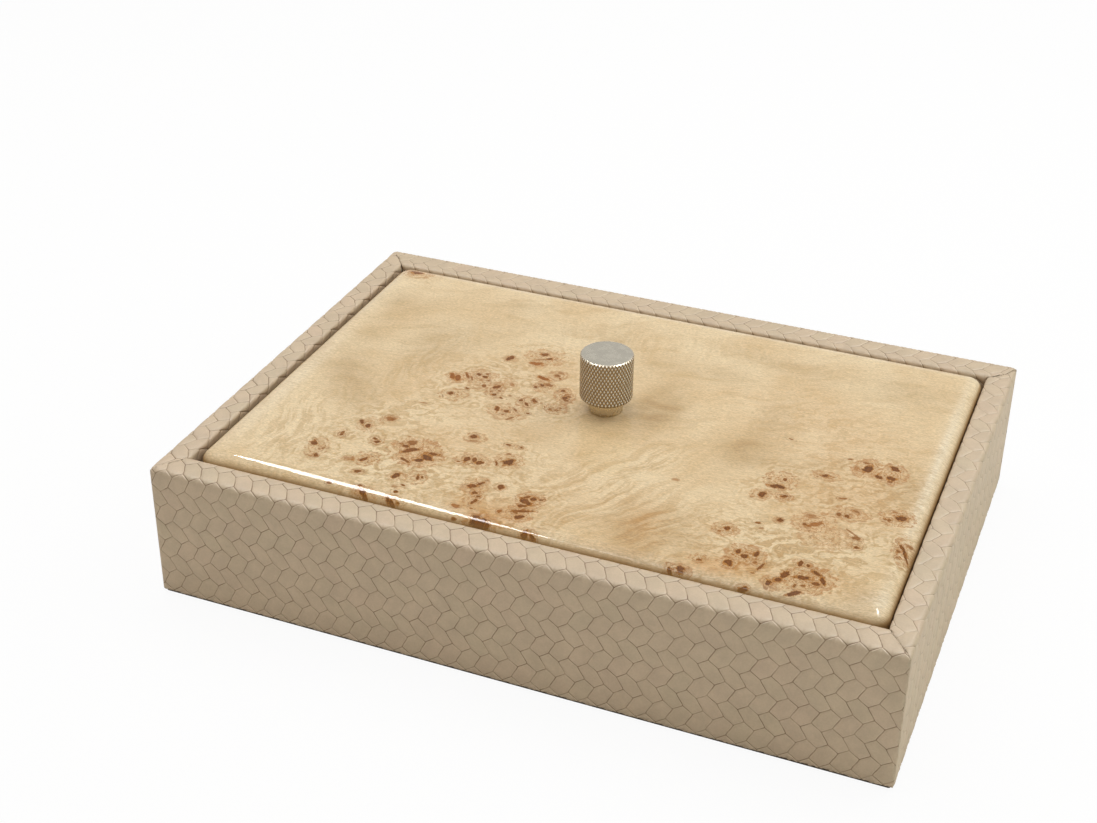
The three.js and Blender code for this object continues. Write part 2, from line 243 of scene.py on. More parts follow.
# How deep the plait is pressed, how dark its lines are on the face and on the rim, how unbroken they
# are, and how far the leather drops at a seam. The lines' darkness is partly painted light: fainter on
# the right face and rim, and darker on the rims than on the faces, after how the light shows the lines.
pattern_strength = {"front": 1.0, "right": 0.75, "back": 0.8, "left": 1.0}
face_ink_and_light = {"front": 0.72, "right": 0.4, "back": 0.72, "left": 0.72}
rim_ink_and_light = {"front": 1.0, "right": 0.62, "back": 0.78, "left": 0.98}
rim_ink_start = 51
rim_ink_run = 5
line_breaks = {"front": 0.5, "right": 0.2, "back": 0.4, "left": 0.4}
seam_drop = {"front": 0.06, "right": 0.22, "back": 0.22, "left": 0.12}
# Radius of the upright corner at each end of a cover
corner_radius = {"front": (2.0, 1.0), "right": (1.0, 0.4), "back": (2.0, 0.4), "left": (2.0, 2.0)}
# Plan points of the curved seam at the back right corner, from its inner end
lap_x = np.array([130.0, 131.6, 133.2, 135.4, 137.2, 138.8, 140.0])
lap_y = np.array([88.2, 88.9, 90.4, 91.9, 94.2, 97.3, 101.0])
leather_cream = (0.600, 0.470, 0.325, 1)
leather_rosy = (0.630, 0.468, 0.328, 1)
leather_olive = (0.575, 0.470, 0.312, 1)
# Colour of the painted highlight beside the pressed lines
leather_highlight = (0.800, 0.660, 0.500, 1)
leather_groove = (0.165, 0.095, 0.045, 1)
grain_scale = 1500


def fold_path(rim):
    """Length along the leather, distance in from the outer face, height, and the angle that the
    surface faces, for points along a cover's fold: straight runs joined by quarter arcs, with the
    length equal to the height on the outer face."""
    quarter = math.pi / 2
    pieces = []

    def straight(t0, z0, t1, z1, facing):
        """The two ends of a straight run, which faces one way."""
        share = np.linspace(0, 1, 2)
        pieces.append(np.stack([t0 + (t1 - t0) * share, z0 + (z1 - z0) * share, np.full(2, facing)], 1))

    def bend(t_centre, z_centre, radius, start, end):
        """Nine points of an arc: its centre plus the radius times the cosine and sine of the angle."""
        angle = start + (end - start) * np.linspace(0, 1, 9)
        arc = [t_centre + radius * np.cos(angle), z_centre + radius * np.sin(angle), angle]
        pieces.append(np.stack(arc, 1))

    straight(turn_under, cover_bottom, hem_radius, cover_bottom, 3 * quarter)
    bend(hem_radius, cover_bottom + hem_radius, hem_radius, 3 * quarter, 2 * quarter)
    straight(0, cover_bottom + hem_radius, 0, rim_top - outer_radius, 2 * quarter)
    bend(outer_radius, rim_top - outer_radius, outer_radius, 2 * quarter, quarter)
    straight(outer_radius, rim_top, rim - inner_radius, rim_top, quarter)
    bend(rim - inner_radius, rim_top - inner_radius, inner_radius, quarter, 0)
    straight(rim, rim_top - inner_radius, rim, inner_foot, 0)
    points = np.concatenate(pieces)
    keep = np.ones(len(points), bool)
    keep[1:] = np.hypot(*np.diff(points[:, :2], axis=0).T) > 1e-6
    points = points[keep]
    length = np.concatenate([[0], np.cumsum(np.hypot(*np.diff(points[:, :2], axis=0).T))])
    on_face = np.argmin(np.abs(points[:, 0]) + np.abs(points[:, 1] - cover_bottom - hem_radius))
    return length - length[on_face] + points[on_face, 1], points


def chance(number):
    """A repeatable value from 0 to 1 for a whole number or an array: the fraction of a large sine."""
    return np.modf(np.abs(np.sin(np.asarray(number) * 12.9898 + 4.1414) * 43758.5453))[0]


def ripple(first, second, size, seed):
    """Smooth random waves from -1 to 1 over two coordinates: the mean of five sines of about that size."""
    total = 0
    for wave in range(5):
        turn = 6.283 * chance(seed + wave)
        rate = (0.6 + 0.8 * chance(seed + wave + 10)) / size
        slide = 9 * chance(seed + wave + 20)
        total = total + np.sin((first * math.cos(turn) + second * math.sin(turn)) * rate + slide)
    return total / 5


def ease(share):
    """0 to 1 with a soft start and end, held outside."""
    held = np.clip(share, 0, 1)
    return held * held * (3 - 2 * held)


def plait(a_range, b_range, start, fine_a, fine_b):
    """The pressed pattern as a grid that follows its own grooves. Columns stand half a pitch apart,
    with close ones beside each groove, and rows run between two zigzags. In the band under the upper
    zigzag the strokes lean to the right going down, and in the next band they lean back. Outside the
    fine ranges only the main columns and rows are kept. Gives each vertex's flat place, its distance
    from the nearest groove and from the nearest crossing, and a number for each face's cell."""
    a_start, b_start = start
    half_pitch = cell_pitch / 2
    close_columns = (
        0, line_edge, line_shoulder, half_pitch / 2, half_pitch - line_shoulder, half_pitch - line_edge,
    )
    first = math.floor((a_range[0] - a_start - stroke_lean) / half_pitch) - 1
    last = math.ceil((a_range[1] - a_start) / half_pitch) + 1
    halves, offsets = [], []
    for half in range(first, last):
        middle_a = a_start + (half + 0.5) * half_pitch
        fine = fine_a[0] - 4 < middle_a < fine_a[1] + 4
        for offset in close_columns if fine else (0,):
            halves.append(half)
            offsets.append(offset)
    half_index = np.array(halves)
    within = np.array(offsets) / half_pitch
    column = (half_index + within) * half_pitch
    to_stroke = np.where(half_index % 2 == 0, within, 1 - within)
    zigzags = (
        -peak_drop * to_stroke,
        -(peak_drop + down_stroke + point_drop) + point_drop * to_stroke,
        -cell_period - peak_drop * to_stroke,
    )
    first_row = math.ceil((b_range[1] - b_start) / cell_period) + 1
    last_row = math.floor((b_range[0] - b_start) / cell_period)
    a_rows, b_rows, gap_rows, node_rows, band_rows = [], [], [], [], []
    for row in range(first_row, last_row - 1, -1):
        base = b_start + row * cell_period
        for band in (0, 1):
            above, below = zigzags[band], zigzags[band + 1]
            height = above - below
            middle_b = base - cell_period * (0.25 + 0.5 * band)
            steps = [0 * height]
            if fine_b[0] - 8 < middle_b < fine_b[1] + 8:
                steps += [row_edge + 0 * height, row_shoulder + 0 * height]
                steps += [row_shoulder + (height - 2 * row_shoulder) * share for share in (0.25, 0.5, 0.75)]
                steps += [height - row_shoulder, height - row_edge]
            for offset in steps:
                share = offset / height
                bend = 0.5 * share + 0.5 * ease(share)
                lean = stroke_lean * (bend if band == 0 else 1 - bend)
                stroke_gap = (1 - to_stroke if band == 0 else to_stroke) * half_pitch * 0.88
                zigzag_gap = 0.81 * np.minimum(offset, height - offset)
                a_rows.append(a_start + column + lean)
                b_rows.append(base + above - offset)
                gap_rows.append(np.minimum(stroke_gap, zigzag_gap))
                node_rows.append(np.hypot(stroke_gap, zigzag_gap))
                band_rows.append(2 * row - band)
    band_number = np.array(band_rows)[:-1, None]
    cell_column = (half_index[:-1] + np.where(band_number % 2 == 0, 1, 0)) // 2
    cell = band_number * 977 + cell_column * 131
    return np.array(a_rows), np.array(b_rows), np.array(gap_rows), np.array(node_rows), cell


def solid_shell(name, outside, inside, faces):
    """A closed mesh object in millimetres from an outer skin, the same points on an inner skin, and
    the outer skin's four sided faces: the edges that only one face uses are walled. It is turned
    inside out where its volume comes out negative. Gives the object and the points that it uses."""
    used, compact = np.unique(faces, return_inverse=True)
    faces = compact.reshape(faces.shape)
    outside, inside = outside[used], inside[used]
    count = len(used)
    edges = np.stack([faces, np.roll(faces, -1, 1)], -1).reshape(-1, 2)
    ordered = np.sort(edges, 1)
    keys = ordered[:, 0].astype(np.int64) * count + ordered[:, 1]
    place, times = np.unique(keys, return_index=True, return_counts=True)[1:]
    border = edges[place[times == 1]]
    wall = np.stack([border[:, 1], border[:, 0], border[:, 0] + count, border[:, 1] + count], 1)
    every_face = np.concatenate([faces, faces[:, ::-1] + count, wall])
    points = np.concatenate([outside, inside])
    corner = points[every_face]
    volume = np.einsum("ij,ij->i", corner[:, 0], np.cross(corner[:, 1], corner[:, 2])).sum()
    volume += np.einsum("ij,ij->i", corner[:, 0], np.cross(corner[:, 2], corner[:, 3])).sum()
    if volume < 0:
        every_face = every_face[:, ::-1]
    mesh = bpy.data.meshes.new(name)
    mesh.vertices.add(len(points))
    mesh.vertices.foreach_set("co", (points * mm).astype(np.float32).ravel())
    mesh.loops.add(every_face.size)
    mesh.loops.foreach_set("vertex_index", every_face.astype(np.int32).ravel())
    mesh.polygons.add(len(every_face))
    mesh.polygons.foreach_set("loop_start", np.arange(0, every_face.size, 4, dtype=np.int32))
    mesh.update(calc_edges=True)
    mesh.shade_smooth()
    piece = bpy.data.objects.new(name, mesh)
    bpy.context.scene.collection.objects.link(piece)
    return piece, used


def set_attribute(piece, name, kind, domain, values):
    """Writes an array as a named attribute that the finishes read."""
    attribute = piece.data.attributes.new(name, kind, domain)
    field = "vector" if kind == "FLOAT_VECTOR" else "value"
    attribute.data.foreach_set(field, np.asarray(values, np.float32).ravel())


def grid_faces(rows, columns):
    """The four sided faces of a grid of rows by columns points."""
    index = np.arange(rows * columns).reshape(rows, columns)
    return np.stack([index[1:, :-1], index[1:, 1:], index[:-1, 1:], index[:-1, :-1]], -1).reshape(-1, 4)


def seam_limit(side, distance, end):
    """Half length of a cover at a distance in from its outer face: the line from the outer corner to
    the inner one, or the curve of the lapped seam."""
    if side == "right" and end > 0:
        return np.interp(distance, half_length - lap_x[::-1], lap_y[::-1])
    if side == "back" and end > 0:
        return np.interp(distance, half_depth - lap_y[::-1], lap_x[::-1])
    if side in ("front", "back"):
        return half_length - distance * side_rim / front_rim
    return half_depth - distance * front_rim / side_rim


def leather_cover(side):
    """The cover of one wall: the plait clipped to the wall's flat outline, pressed into the surface,
    folded along the path and rounded at the upright corners, with its thickness turned inward."""
    lengthwise = side in ("front", "back")
    if lengthwise:
        rim, half, reach = front_rim, half_length, half_depth
    else:
        rim, half, reach = side_rim, half_depth, half_length
    length, path = fold_path(rim)
    ends = (length[0], length[-1])
    over_rim = length[-1] - (rim_top - inner_radius - inner_foot)
    seen = (-1.0, over_rim + visible_inside)
    flat_rim = reach + rim_top - outer_radius + outer_radius * math.pi / 2 - outer_radius
    # On the flat plan of the plait, a length v along the fold lies at sign * v + shift
    sign, shift = {"front": (1, 0), "left": (1, -flat_rim)}.get(side, (-1, flat_rim))
    flat_ends = sorted(sign * end + shift for end in ends)
    flat_seen = sorted(sign * end + shift for end in seen)
    everywhere = (-1000, 1000)
    if lengthwise:
        s, flat, gap, node, cell = plait((-half, half), flat_ends, plait_start[side], everywhere, flat_seen)
    else:
        flat, s, gap, node, cell = plait(flat_ends, (-half, half), plait_start[side], flat_seen, everywhere)
    v = sign * (flat - shift)
    if side == "front":
        s = s - row_drift * (v - plait_start[side][1])
        v = v + rim_stretch * ease((v - stretch_start) / stretch_run)
    faces = grid_faces(*s.shape)
    s, v, gap, node, cell = s.ravel(), v.ravel(), gap.ravel(), node.ravel(), cell.ravel()
    s, v = s + line_wander * ripple(s, v, 9, 3), v + line_wander * ripple(s, v, 8, 17)
    hidden = (v < seen[0] - 1) | (v > seen[1] + 1)
    gap = np.where(hidden, 2, gap)
    node = np.where(hidden, 2, node)
    # The hem along the foot of the cover is drawn in the lines' dark colour, a fine dark line round the
    # bottom
    gap = np.where((v > -0.6) & (v < cover_bottom + 0.4), 0, gap)
    v_end = np.clip(v, *ends)
    low_round, high_round = (radius * (1 - math.sqrt(0.5)) for radius in corner_radius[side])
    distance = np.interp(v_end, length, path[:, 0])
    upper_end = seam_limit(side, np.maximum(distance, high_round), 1) - seam
    lower_end = seam_limit(side, np.maximum(distance, low_round), -1) - seam
    s_end = np.clip(s, -lower_end, upper_end)
    inner = (np.abs(s_end - s) < 1e-9) & (np.abs(v_end - v) < 1e-9)
    keep = inner[faces].any(1)
    faces, cell = faces[keep], cell[keep]
    height = np.interp(v_end, length, path[:, 1])
    facing = np.interp(v_end, length, path[:, 2])
    to_end = np.minimum(upper_end - s_end, lower_end + s_end)
    groove = groove_depth * np.exp(-(gap / groove_width) ** 2)
    pillow = pillow_rise * np.exp(-(gap / pillow_width) ** 2)
    at_seam = seam_drop[side] * np.exp(-(to_end / seam_softness) ** 2)
    press = (-groove - pillow) * pattern_strength[side] - at_seam
    radius = np.where(s_end > 0, corner_radius[side][1], corner_radius[side][0])
    overhang = np.clip(np.abs(s_end) - (half - radius), 0, radius)
    pulled = radius - np.sqrt(radius ** 2 - overhang ** 2)

    def place(depth, along):
        """Points that deep under the fold's surface and that far along the wall, with the leather
        drawn round the upright corner and down over the rim's edge."""
        t = np.maximum(distance + depth * np.cos(facing), pulled)
        from_end = half - np.abs(along)
        at_corner = radius - np.hypot(radius - from_end, radius - t)
        inward = np.where((from_end < radius) & (t < radius), at_corner, np.minimum(from_end, t))
        short = np.clip(outer_radius - inward, 0, outer_radius)
        cap = rim_top - outer_radius + np.sqrt(outer_radius ** 2 - short ** 2)
        z = np.minimum(height, cap) + depth * np.sin(facing)
        outward = reach - t if side in ("back", "right") else t - reach
        return np.stack([along, outward, z] if lengthwise else [outward, along, z], 1)

    low_end = seam_limit(side, np.maximum(distance, low_round) + leather_body, -1) - seam
    high_end = seam_limit(side, np.maximum(distance, high_round) + leather_body, 1) - seam
    outer = place(press, s_end)
    under = place(0 * press - leather_body, np.clip(s_end, -low_end, high_end))
    piece, used = solid_shell("leather_" + side, outer, under, faces)
    blank = np.zeros(len(piece.data.polygons) - len(faces))
    set_attribute(piece, "cell", "FLOAT", "FACE", np.concatenate([chance(cell), blank]))
    set_attribute(piece, "cell_two", "FLOAT", "FACE", np.concatenate([chance(cell + 71), blank]))
    # The lines' darkness, from the face's to the rim's, partly painted light
    ink_and_light = face_ink_and_light[side] + (rim_ink_and_light[side] - face_ink_and_light[side]) * ease((v_end - rim_ink_start) / rim_ink_run)
    for name, values, inside in (("gap", gap, 2), ("crossing", node, 2), ("ink_and_light", ink_and_light, 0)):
        both_skins = np.concatenate([values[used], np.full(len(used), inside)])
        set_attribute(piece, name, "FLOAT", "POINT", both_skins)
    return piece


def carried(tree, name, output="Fac"):
    """An attribute that the mesh carries."""
    return add_node(tree, "Attribute", attribute_name=name).outputs[output]


def product(tree, *values):
    """The values multiplied together."""
    result = values[0]
    for value in values[1:]:
        result = calc(tree, "MULTIPLY", result, value)
    return result


def apart(tree, value, middle):
    """How far a value lies from a middle one, to either side."""
    return calc(tree, "ABSOLUTE", calc(tree, "SUBTRACT", value, middle))


def toned(tree, colour, tone):
    """The colour made darker or lighter by a factor."""
    grey = add_node(tree, "CombineColor", {"Red": tone, "Green": tone, "Blue": tone}).outputs[0]
    return mix_colours(tree, 1, colour, grey, "MULTIPLY")


def leather_finish(side):
    """Cream leather: each cell a little rosy or olive, with a painted highlight beside the pressed lines,
    mottled and fine grained, with brown lines and dots where the pattern was pressed in."""
    leather, tree, shader = finish("leather_" + side)
    where = place_on(tree)
    gap = carried(tree, "gap")
    mottle = noise(tree, where, 130, detail=4, roughness=0.6)
    grain = noise(tree, where, grain_scale, detail=3, roughness=0.6)
    colour = mix_colours(tree, product(tree, carried(tree, "cell"), 0.4), leather_cream, leather_rosy)
    colour = mix_colours(tree, product(tree, carried(tree, "cell_two"), 0.4), colour, leather_olive)
    # Painted highlight: the cells' shoulders beside each pressed line are painted paler
    painted_bevel_highlight = ramp(tree, apart(tree, gap, 0.4), 0.0, 0.22, 0.16, 0)
    colour = mix_colours(tree, painted_bevel_highlight, colour, leather_highlight)
    shade = product(tree, ramp(tree, mottle, 0.3, 0.7, 0.9, 1.0), ramp(tree, grain, 0.3, 0.7, 0.96, 1.03))
    colour = toned(tree, colour, shade)
    uneven = ramp(tree, noise(tree, where, 190, detail=3), 0.4, 0.62, line_breaks[side], 1.15)
    line = product(tree, ramp(tree, gap, 0.02, 0.2, 1, 0), uneven)
    dot = ramp(tree, carried(tree, "crossing"), 0.1, 0.5, 0.9, 0)
    # Lines and dots, at a darkness that is partly painted light
    marked = product(tree, calc(tree, "MAXIMUM", line, dot), carried(tree, "ink_and_light"))
    wire(tree, mix_colours(tree, marked, colour, leather_groove), shader.inputs["Base Color"])
    relief(tree, shader, ramp(tree, gap, 0.0, 0.5), 0.35 * pattern_strength[side], 0.2 * mm)
    relief(tree, shader, grain, 0.35, 0.06 * mm)
    wire(tree, ramp(tree, grain, 0.3, 0.7, 0.46, 0.62), shader.inputs["Roughness"])
    shader.inputs["Specular IOR Level"].default_value = 0.25
    return leather


for side in sides:
    cover = leather_cover(side)
    cover.data.materials.append(leather_finish(side))
    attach(cover, "box")
    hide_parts(side + "_wrap")


# Felt under the box
# A thin brown felt sheet, die cut a little smaller than the box and glued on to save the table.
# Its cut edge is slightly fuzzy and shows as a fine dark line all round the foot of the box.
felt_low, felt_high = corners_of("base_felt")
felt_corner = 0.8
felt_colour = (0.045, 0.032, 0.022, 1)
felt_pale = (0.085, 0.062, 0.045, 1)
felt_scale = 1800


def ring_faces(rings, count, closed=False):
    """The four sided faces between rings of count points each, with the last ring joined to the
    first one where the surface is closed that way."""
    level = np.arange(rings if closed else rings - 1)[:, None] * count
    following = (level + count) % (rings * count)
    step = np.arange(count)[None, :]
    after = (step + 1) % count
    faces = [level + step, level + after, following + after, following + step]
    return np.stack(faces, -1).reshape(-1, 4).tolist()


def end_faces(rings, count):
    """The faces that close the first and the last of the rings."""
    return [list(range(count))[::-1], list(range((rings - 1) * count, rings * count))]


def closed_piece(name, points, faces):
    """A mesh object from points in millimetres and its faces, which are turned to face outwards."""
    mesh = bpy.data.meshes.new(name)
    mesh.from_pydata((points * mm).tolist(), [], faces)
    made = bmesh.new()
    made.from_mesh(mesh)
    bmesh.ops.recalc_face_normals(made, faces=made.faces)
    made.to_mesh(mesh)
    made.free()
    piece = bpy.data.objects.new(name, mesh)
    bpy.context.scene.collection.objects.link(piece)
    return piece


def rounded_outline(half_x, half_y, radius, per_corner):
    """Points round a rectangle with rounded corners, anticlockwise, centred on the origin."""
    angle = np.linspace(0, math.pi / 2, per_corner)
    corners = []
    for turn, (side_x, side_y) in enumerate(((1, 1), (-1, 1), (-1, -1), (1, -1))):
        facing = angle + turn * math.pi / 2
        x = side_x * (half_x - radius) + radius * np.cos(facing)
        y = side_y * (half_y - radius) + radius * np.sin(facing)
        corners.append(np.stack([x, y], 1))
    return np.concatenate(corners)


def flat_sheet(name, low, high, corner, per_corner, edge):
    """A glued sheet with rounded corners, centred on the origin: its outline at each inset and height
    of the edge, stacked from the bottom to the top and closed by fans round the middle."""
    half_x, half_y = (high[:2] - low[:2]) / 2
    rings = []
    for inset, height in edge:
        outline = rounded_outline(half_x - inset, half_y - inset, corner, per_corner)
        rings.append(np.column_stack([outline, np.full(len(outline), height)]))
    count = len(rings[0])
    middles = [[0, 0, edge[0][1]], [0, 0, edge[-1][1]]]
    points = np.concatenate(rings + [middles])
    step = np.arange(count)
    after = (step + 1) % count
    foot = len(rings) * count
    top = foot - count
    low_fan = np.stack([after, step, np.full(count, foot)], 1).tolist()
    high_fan = np.stack([top + step, top + after, np.full(count, foot + 1)], 1).tolist()
    return closed_piece(name, points, ring_faces(len(rings), count) + low_fan + high_fan)


felt_edge = [(0.15, 0.0), (0.0, 0.15), (0.0, 0.85), (0.15, 1.0)]
base_felt = flat_sheet("felt_foot", felt_low, felt_high, felt_corner, 7, felt_edge)
felt, tree, shader = finish("base_felt")
fibres = noise(tree, place_on(tree), felt_scale, detail=5, roughness=0.75)
felt_shade = mix_colours(tree, ramp(tree, fibres, 0.35, 0.65), felt_colour, felt_pale)
wire(tree, felt_shade, shader.inputs["Base Color"])
relief(tree, shader, fibres, 0.6, 0.25 * mm)
shader.inputs["Roughness"].default_value = 0.95
shader.inputs["Sheen Weight"].default_value = 0.3
base_felt.data.materials.append(felt)
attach(base_felt, "box")
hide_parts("base_felt")


# Suede linings
# A warm brown microsuede lines the inside: a strip over each liner board, with its top edge folded
# over the board, and a cut sheet on the floor, all glued down.
suede_colour = (0.115, 0.060, 0.032, 1)
suede_pale = (0.175, 0.098, 0.055, 1)
suede_scale = 1100
brush_scale = 45
suede_thick = 0.8
fold_radius = 0.6
floor_corner = 0.5
suede, tree, shader = finish("suede_lining")
where = place_on(tree)
nap = noise(tree, where, suede_scale, detail=4, roughness=0.7)
brushed = noise(tree, where, brush_scale, detail=3, roughness=0.55, distortion=0.6)
nap_tone = calc(tree, "ADD", product(tree, nap, 0.5), product(tree, brushed, 0.5))
suede_shade = mix_colours(tree, ramp(tree, nap_tone, 0.36, 0.62), suede_colour, suede_pale)
wire(tree, suede_shade, shader.inputs["Base Color"])
relief(tree, shader, nap, 0.5, 0.15 * mm)
shader.inputs["Roughness"].default_value = 0.92
shader.inputs["Sheen Weight"].default_value = 0.45
shader.inputs["Sheen Roughness"].default_value = 0.4


def lining_strip(side):
    """One strip: its section, up the liner board's face and over its top, run along the wall with
    mitred ends."""
    low, high = corners_of(side + "_lining")
    along_axis = 0 if side in ("front", "back") else 1
    across_axis = 1 - along_axis
    half = (high[along_axis] - low[along_axis]) / 2
    middle = (high[along_axis] + low[along_axis]) / 2
    wide = high[across_axis] - low[across_axis]
    foot, top = low[2], high[2]
    section = [(wide, foot), (wide, (foot + top) / 2), (wide, top - fold_radius)]
    for turn in np.linspace(0, math.pi / 2, 7)[1:]:
        across = wide - fold_radius + fold_radius * math.cos(turn)
        section.append((across, top - fold_radius + fold_radius * math.sin(turn)))
    section += [(wide / 2, top), (0, top), (0, top - suede_thick), (wide - suede_thick, top - suede_thick)]
    section += [(wide - suede_thick, foot)]
    section = np.array(section)
    share = np.linspace(-1, 1, 61)
    along = (middle + share[:, None] * (half - section[:, 0])[None, :]).ravel()
    across = np.tile(section[:, 0], len(share))
    across = high[across_axis] - across if side in ("back", "right") else low[across_axis] + across
    z = np.tile(section[:, 1], len(share))
    points = np.stack([along, across, z] if along_axis == 0 else [across, along, z], 1)
    count = len(section)
    faces = ring_faces(len(share), count) + end_faces(len(share), count)
    return closed_piece("suede_" + side, points, faces)


for side in sides:
    strip = lining_strip(side)
    strip.data.materials.append(suede)
    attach(strip, "box")
    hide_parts(side + "_lining")
floor_low, floor_high = corners_of("floor_lining")
floor_foot, floor_top = floor_low[2], floor_high[2]
floor_edge = [(0.1, floor_foot), (0.0, floor_foot + 0.1)]
floor_edge += [(0.0, floor_top - 0.25), (0.08, floor_top - 0.08), (0.25, floor_top)]
suede_floor = flat_sheet("suede_floor", floor_low, floor_high, floor_corner, 5, floor_edge)
suede_floor.data.materials.append(suede)
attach(suede_floor, "box")
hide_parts("floor_lining")


# Sheet under the lid
# A sheet of the same suede is glued to the underside of the lid, inside its rounded edge. It has a
# round hole where the knob's screw sits in its well.
lid_low, lid_high = corners_of("lid_veneer")
under_low, under_high = corners_of("lid_sheet")
knob_low, knob_high = corners_of("knob")
lid_centre = (lid_low + lid_high) / 2
knob_centre = (knob_low + knob_high) / 2
well_radius = 6.0
lid_corner = 6.0
under_inset = 0.6


def holed_sheet(name, low_corner, high_corner, corner, hole_radius):
    """A closed plate with a round hole: rings step from the hole's edge out to the outline on the
    upper face, down the outer edge, and back in along the lower face."""
    half_x, half_y = (high_corner[:2] - low_corner[:2]) / 2
    low, high = low_corner[2], high_corner[2]
    outline = rounded_outline(half_x, half_y, corner, 17) + lid_centre[:2]
    away = outline - knob_centre[:2]
    hole = knob_centre[:2] + away / np.hypot(away[:, 0], away[:, 1])[:, None] * hole_radius
    rounds = [(0, high), (0.3, high), (0.99, high), (1, high - 0.2)]
    rounds += [(1, low + 0.3), (0.997, low), (0.3, low), (0, low)]
    rings = []
    for share, height in rounds:
        rings.append(np.column_stack([hole + (outline - hole) * share, np.full(len(outline), height)]))
    return closed_piece(name, np.concatenate(rings), ring_faces(len(rings), len(outline), closed=True))


lid_lining = holed_sheet("suede_lid", under_low, under_high, lid_corner - under_inset, well_radius)
lid_lining.data.materials.append(suede)
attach(lid_lining, "lid")
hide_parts("lid_sheet")


# Burl veneer
# One sheet of burl is pressed over the lid's core, over its softly rounded edge and down its side, and
# finished in clear gloss lacquer. Small dark eyes stand in clusters, with rings and warm halos round
# them, in cloudy cream and tan wood with pale flames.
veneer_thick = 0.8
edge_run = 6.75
edge_drop = 4.2
core_round = 4.2
flat_border = 9.0
first_ring = 8.0
side_rings = (1.4, 2.8)
grid_step = 1.17
screw_hole = 2.4
lid_top = lid_high[2]
lid_half_x, lid_half_y = (lid_high[:2] - lid_low[:2]) / 2
veneer_foot = lid_low[2]
# Heights between which the veneer's foot is painted with shade
foot_shade_low = lid_top - 3.6
foot_shade_high = lid_top - 0.9
# How far the warm halo of an eye reaches and how strong it is, and how softly the knots' swells merge
halo_start = 0.7
halo_spread = 1.25
halo_depth = 0.6
knot_merge = 2.2
burl_pale = (0.850, 0.690, 0.445, 1)
burl_cream = (0.720, 0.525, 0.290, 1)
burl_tan = (0.530, 0.340, 0.150, 1)
burl_smoke = (0.395, 0.238, 0.086, 1)
burl_amber = (0.560, 0.240, 0.040, 1)
# Colour of the painted reflection along the lid's edges
burl_painted_shine = (0.900, 0.820, 0.660, 1)
burl_gap_shade = (0.330, 0.185, 0.058, 1)
burl_rose = (0.650, 0.390, 0.178, 1)
knot_brown = (0.430, 0.160, 0.024, 1)
eye_dark = (0.120, 0.042, 0.006, 1)
eye_warm = (0.370, 0.118, 0.010, 1)
eye_rim = (0.460, 0.180, 0.020, 1)
ring_brown = (0.230, 0.080, 0.009, 1)
